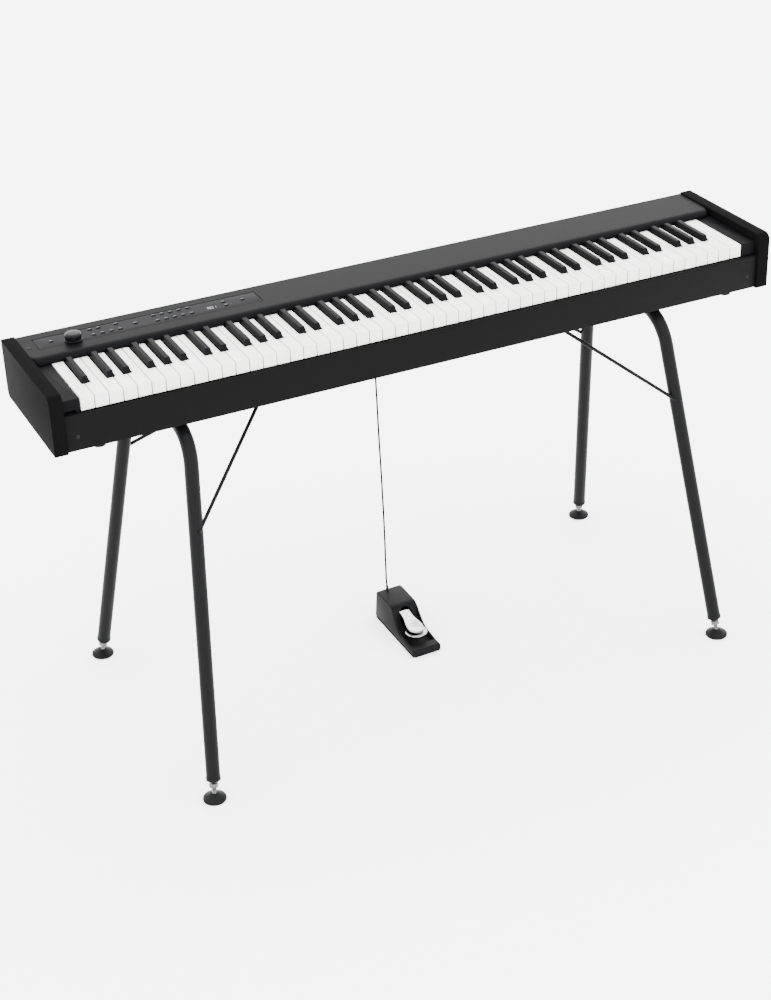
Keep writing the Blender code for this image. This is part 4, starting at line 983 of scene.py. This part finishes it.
for leg_name, (ball, down) in lines.items():
    body = f"{leg_name}_foot"
    low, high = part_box(body)
    radius = (high.x - low.x) / 2
    profile = [
        (0, 0.0130),
        (0.0060, 0.0130),
        (0.0068, 0.0126),
        (0.0090, 0.0110),
        (radius - 0.0020, 0.0058),
        (radius - 0.0006, 0.0050),
        (radius, 0.0040),
        (radius, 0.0010),
        (radius - 0.0010, 0),
        (0, 0),
    ]
    disc = turned(profile, (ball[0], ball[1], 0), 48)
    solid(f"{leg_name}_disc", foot_plastic, body, [disc], [body])
    top = on_leg(leg_name, TUBE_END) - down * STUD_DEPTH
    length = np.linalg.norm(top - ball)
    steps = int(length / THREAD_PITCH * 4)
    share = np.linspace(0, 1, steps + 1)
    stud_line = ball + (top - ball) * share[:, None]
    wave = np.abs(np.arange(steps + 1) % 4 - 2) / 2
    stud = sweep(stud_line, STUD_RADIUS - THREAD_DEEP * wave, (1, 0, 0), 20)
    nut = on_leg(leg_name, NUT_HEIGHT)
    half = NUT_THICK / 2
    stops = np.array([-half, -half + 0.0007, half - 0.0007, half])[:, None]
    nut_radii = NUT_RADIUS * np.array([0.92, 1.0, 1.0, 0.92])
    hexagon = sweep(nut - down * stops, nut_radii, (1, 0, 0), 6)
    solid(f"{leg_name}_stud", plated, body, [stud, hexagon])
    tip = on_leg(leg_name, TUBE_END)
    stops = np.array([-COLLAR_LAP, -COLLAR_LAP + 0.0005, COLLAR_LONG - COLLAR_LAP - 0.0012])
    stops = np.r_[stops, COLLAR_LONG - COLLAR_LAP][:, None]
    collar_radii = COLLAR_RADIUS * np.array([0.97, 1.0, 1.0, 0.88])
    collar = sweep(tip + down * stops, collar_radii, (1, 0, 0), 32)
    solid(f"{leg_name}_collar", foot_plastic, "piano", [collar])

# ---- rubber bumpers -----------------------------------------------------------------
# Moulded rubber bumps under the body's four corners, for use without the stand. Their
# lower edges are rounded.

rubber, tree, shader, where = finish("black_rubber", "#060606", 0.8, Specular_IOR_Level=0.03)
mottled(tree, shader, where, 1.5, ("#050505", "#080808"), (0.74, 0.88), 0.05)
BUMPER_ROUND = 0.002
for leg_name in lines:
    node = f"{leg_name}_bumper"
    low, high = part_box(node)
    radius, tall = (high.x - low.x) / 2, high.z - low.z
    turn = np.radians(np.linspace(0, 90, 5))
    edge_r = radius - BUMPER_ROUND + BUMPER_ROUND * np.cos(turn)
    edge_z = BUMPER_ROUND - BUMPER_ROUND * np.sin(turn)
    profile = [(0, tall), (radius, tall), *zip(edge_r, edge_z), (0, 0)]
    centre = ((low.x + high.x) / 2, (low.y + high.y) / 2, low.z)
    solid(f"{leg_name}_bump", rubber, "piano", [turned(profile, centre)], [node])

# ---- pedal --------------------------------------------------------------------------
# Damper pedal: a moulded wedge with drafted sides and a low open front, whose side walls
# sweep down to a bar. An arch in its front lets the lever through, and a rubber sole grips.

PEDAL_FRONT, PEDAL_REAR, PEDAL_HALF = -0.0475, 0.1230, 0.0300
PEDAL_BASE, PEDAL_HEIGHT, TRAY_FLOOR = 0.0034, 0.0570, 0.0062
BAR_TOP, BAR_REAR, WALL = 0.0140, -0.0270, 0.0042
WEDGE_FOOT, WEDGE_TOP = 0.0280, 0.0540
ARCH_HALF, ARCH_LOW, ARCH_HIGH, ARCH_REAR = 0.01375, 0.0155, 0.0525, 0.0990
DRAFT, TRIM = 0.13, 0.0004
CASE_LEAN, CASE_EDGE, ARCH_ROUND = 0.004, 0.0046, 0.0125
SWEEP_Y, SWEEP_Z = 0.0200, 0.0190
MOUTH_REAR, MOUTH_HIGH, OVER_CASE = 0.0450, 0.0520, 0.0700
FRONT_CORNER, REAR_CORNER = 0.0055, 0.0110
SOLE_IN, SOLE_HIGH = 0.0010, 0.0033
CASE_TURN, CASE_SHIFT = 0.035, 0.0005

pedal_abs, tree, shader, where = finish("grained_black_pedal_abs", "#070708", 0.45, Specular_IOR_Level=0.035)
mottled(tree, shader, where, 1.3, ("#060607", "#09090a"), (0.4, 0.52), 0.06)

pedal_joint = [joint for joint in frame["joints"] if joint["name"] == "pedal_press"][0]
axis_x, axis_y, _ = pedal_joint["axis"]
pivot = np.array(pedal_joint["pos_m"])
PIVOT_BACK = 0.085


def in_pedal(rings):
    """Points drawn with the pedal's length along Y, turned and moved to where the pedal lies."""
    turn = np.array([[axis_x, -axis_y, 0], [axis_y, axis_x, 0], [0, 0, 1]])
    return (rings - (0, PIVOT_BACK, pivot[2])) @ turn.T + pivot


def move_vertices(target, change):
    """Passes all of a mesh's points through a function."""
    points = np.zeros(3 * len(target.data.vertices))
    target.data.vertices.foreach_get("co", points)
    target.data.vertices.foreach_set("co", change(points.reshape(-1, 3)).ravel())
    target.data.update()


TRIM_HALF = PEDAL_HALF + TRIM
side_view = [
    (PEDAL_FRONT - TRIM, PEDAL_BASE),
    (PEDAL_REAR + TRIM, PEDAL_BASE),
    (PEDAL_REAR - CASE_LEAN, PEDAL_HEIGHT),
    (WEDGE_TOP - CASE_LEAN, PEDAL_HEIGHT),
    (SWEEP_Y, SWEEP_Z),
    (BAR_REAR, BAR_TOP),
    (PEDAL_FRONT - TRIM, BAR_TOP),
]
setbacks = [0.001, 0.001, 0.009, 0.010, 0.012, 0.006, 0.006]
housing = solid(
    "pedal_case",
    pedal_abs,
    "piano",
    [slab(rounded_line(side_view, setbacks, 6), -TRIM_HALF, TRIM_HALF, "x", CASE_EDGE, CASE_EDGE, 6)],
    ["pedal_housing"],
)
tray = [
    (BAR_REAR, TRAY_FLOOR),
    (WEDGE_FOOT, TRAY_FLOOR),
    (MOUTH_REAR, MOUTH_HIGH),
    (MOUTH_REAR, OVER_CASE),
    (BAR_REAR, OVER_CASE),
]
tray = rounded_line(tray, [0.002, 0.003, 0.0001, 0.001, 0.001], 5)
plan = box_line(-PEDAL_HALF, PEDAL_HALF, PEDAL_FRONT, PEDAL_REAR)
plan = rounded_line(plan, [FRONT_CORNER, FRONT_CORNER, REAR_CORNER, REAR_CORNER], 8)
cut_from(housing, [slab(plan, PEDAL_BASE - 0.01, PEDAL_HEIGHT + 0.01, "z")], "INTERSECT")
cut_from(housing, [slab(tray, WALL - PEDAL_HALF, PEDAL_HALF - WALL, "x")])
arch = box_line(-ARCH_HALF, ARCH_HALF, ARCH_LOW, ARCH_HIGH)
arch = rounded_line(arch, [0.001, 0.001, ARCH_ROUND, ARCH_ROUND], 10)
cut_from(housing, [slab(arch, BAR_REAR + 0.001, ARCH_REAR, "y")])


def drafted(points):
    """Draws the sides in by the draft times the height over the base, turns the part behind the
    bar a little by a sideways shift that grows with its distance, and sets the pedal down."""
    x, y, z = points.T
    x = x * (1 - DRAFT * (z - PEDAL_BASE) / PEDAL_HEIGHT)
    return in_pedal(np.stack([x + CASE_SHIFT + CASE_TURN * (y - BAR_REAR) * (y > BAR_REAR), y, z], -1))


move_vertices(housing, drafted)
sole = box_line(SOLE_IN - PEDAL_HALF, PEDAL_HALF - SOLE_IN, PEDAL_FRONT + SOLE_IN, PEDAL_REAR - SOLE_IN)
sole = rounded_line(sole, [FRONT_CORNER, FRONT_CORNER, REAR_CORNER, REAR_CORNER], 6)
sole = slab(sole, 0, SOLE_HIGH, "z", 0.0004, 0.0002)
sole = solid("pedal_grip", rubber, "piano", [sole], ["pedal_sole"])
move_vertices(sole, drafted)

# ---- pedal lever --------------------------------------------------------------------
# Chrome-plated steel: a narrow neck that widens to a rounded tongue, over a larger round
# flange, and hinged on a pin inside the case.

LEVER_TIP, TONGUE_HALF, NECK_HALF = -0.0170, 0.0150, 0.0100
FLANGE_RADIUS, FLANGE_Y, FLANGE_LOW = 0.0205, -0.0045, 0.0262
NECK_START = 0.0290
LEVER_THICK, LEVER_EDGE = 0.0042, 0.0014
LEVER_Y = (-0.0180, -0.0100, 0.0150, 0.0400, 0.0700, 0.0930)
LEVER_RISE = (0.0345, 0.0358, 0.0395, 0.0470, 0.0500, 0.0440)

chrome, tree, shader, where = finish("bright_chrome_plate", "#828284", 0.08, Metallic=1.0)
mottled(tree, shader, where, 4.0, ("#8e8e90", "#9a9a9c"), (0.06, 0.11), 0.002)

tongue_y = LEVER_TIP + TONGUE_HALF
turn = np.radians(np.linspace(2, 90, 16))
y = np.r_[tongue_y - TONGUE_HALF * np.cos(turn), np.linspace(tongue_y + 0.002, NECK_START, 14)]
y = np.r_[y, np.linspace(NECK_START + 0.004, LEVER_Y[-1], 14)]
share = np.clip((y - tongue_y) / (NECK_START - tongue_y), 0, 1)
share = share**1.3
wide = TONGUE_HALF - (TONGUE_HALF - NECK_HALF) * share**2 * (3 - 2 * share)
wide = np.where(y < tongue_y, np.sqrt(np.clip(TONGUE_HALF**2 - (tongue_y - y) ** 2, 1e-9, None)), wide)
wide = np.maximum(wide, 0.0005)
blur = np.linspace(-0.006, 0.006, 13)
rise = np.interp(y[:, None] + blur, LEVER_Y, LEVER_RISE).mean(1)
edge = np.minimum(LEVER_EDGE, wide * 0.9)
lever = bar_rings(y, -wide, wide, rise - LEVER_THICK, rise, edge, edge, 5)
profile = [
    (0, 0.0022),
    (FLANGE_RADIUS - 0.0008, 0.0022),
    (FLANGE_RADIUS, 0.0014),
    (FLANGE_RADIUS, 0.0008),
    (FLANGE_RADIUS - 0.0008, 0),
    (0, 0),
]
flange = turned(profile, (0, FLANGE_Y, FLANGE_LOW), 64)
solid(
    "pedal_tongue",
    chrome,
    "pedal_lever",
    [in_pedal(lever), in_pedal(flange)],
    ["pedal_lever"],
)
dress(plated, "chrome", "pedal_pin")
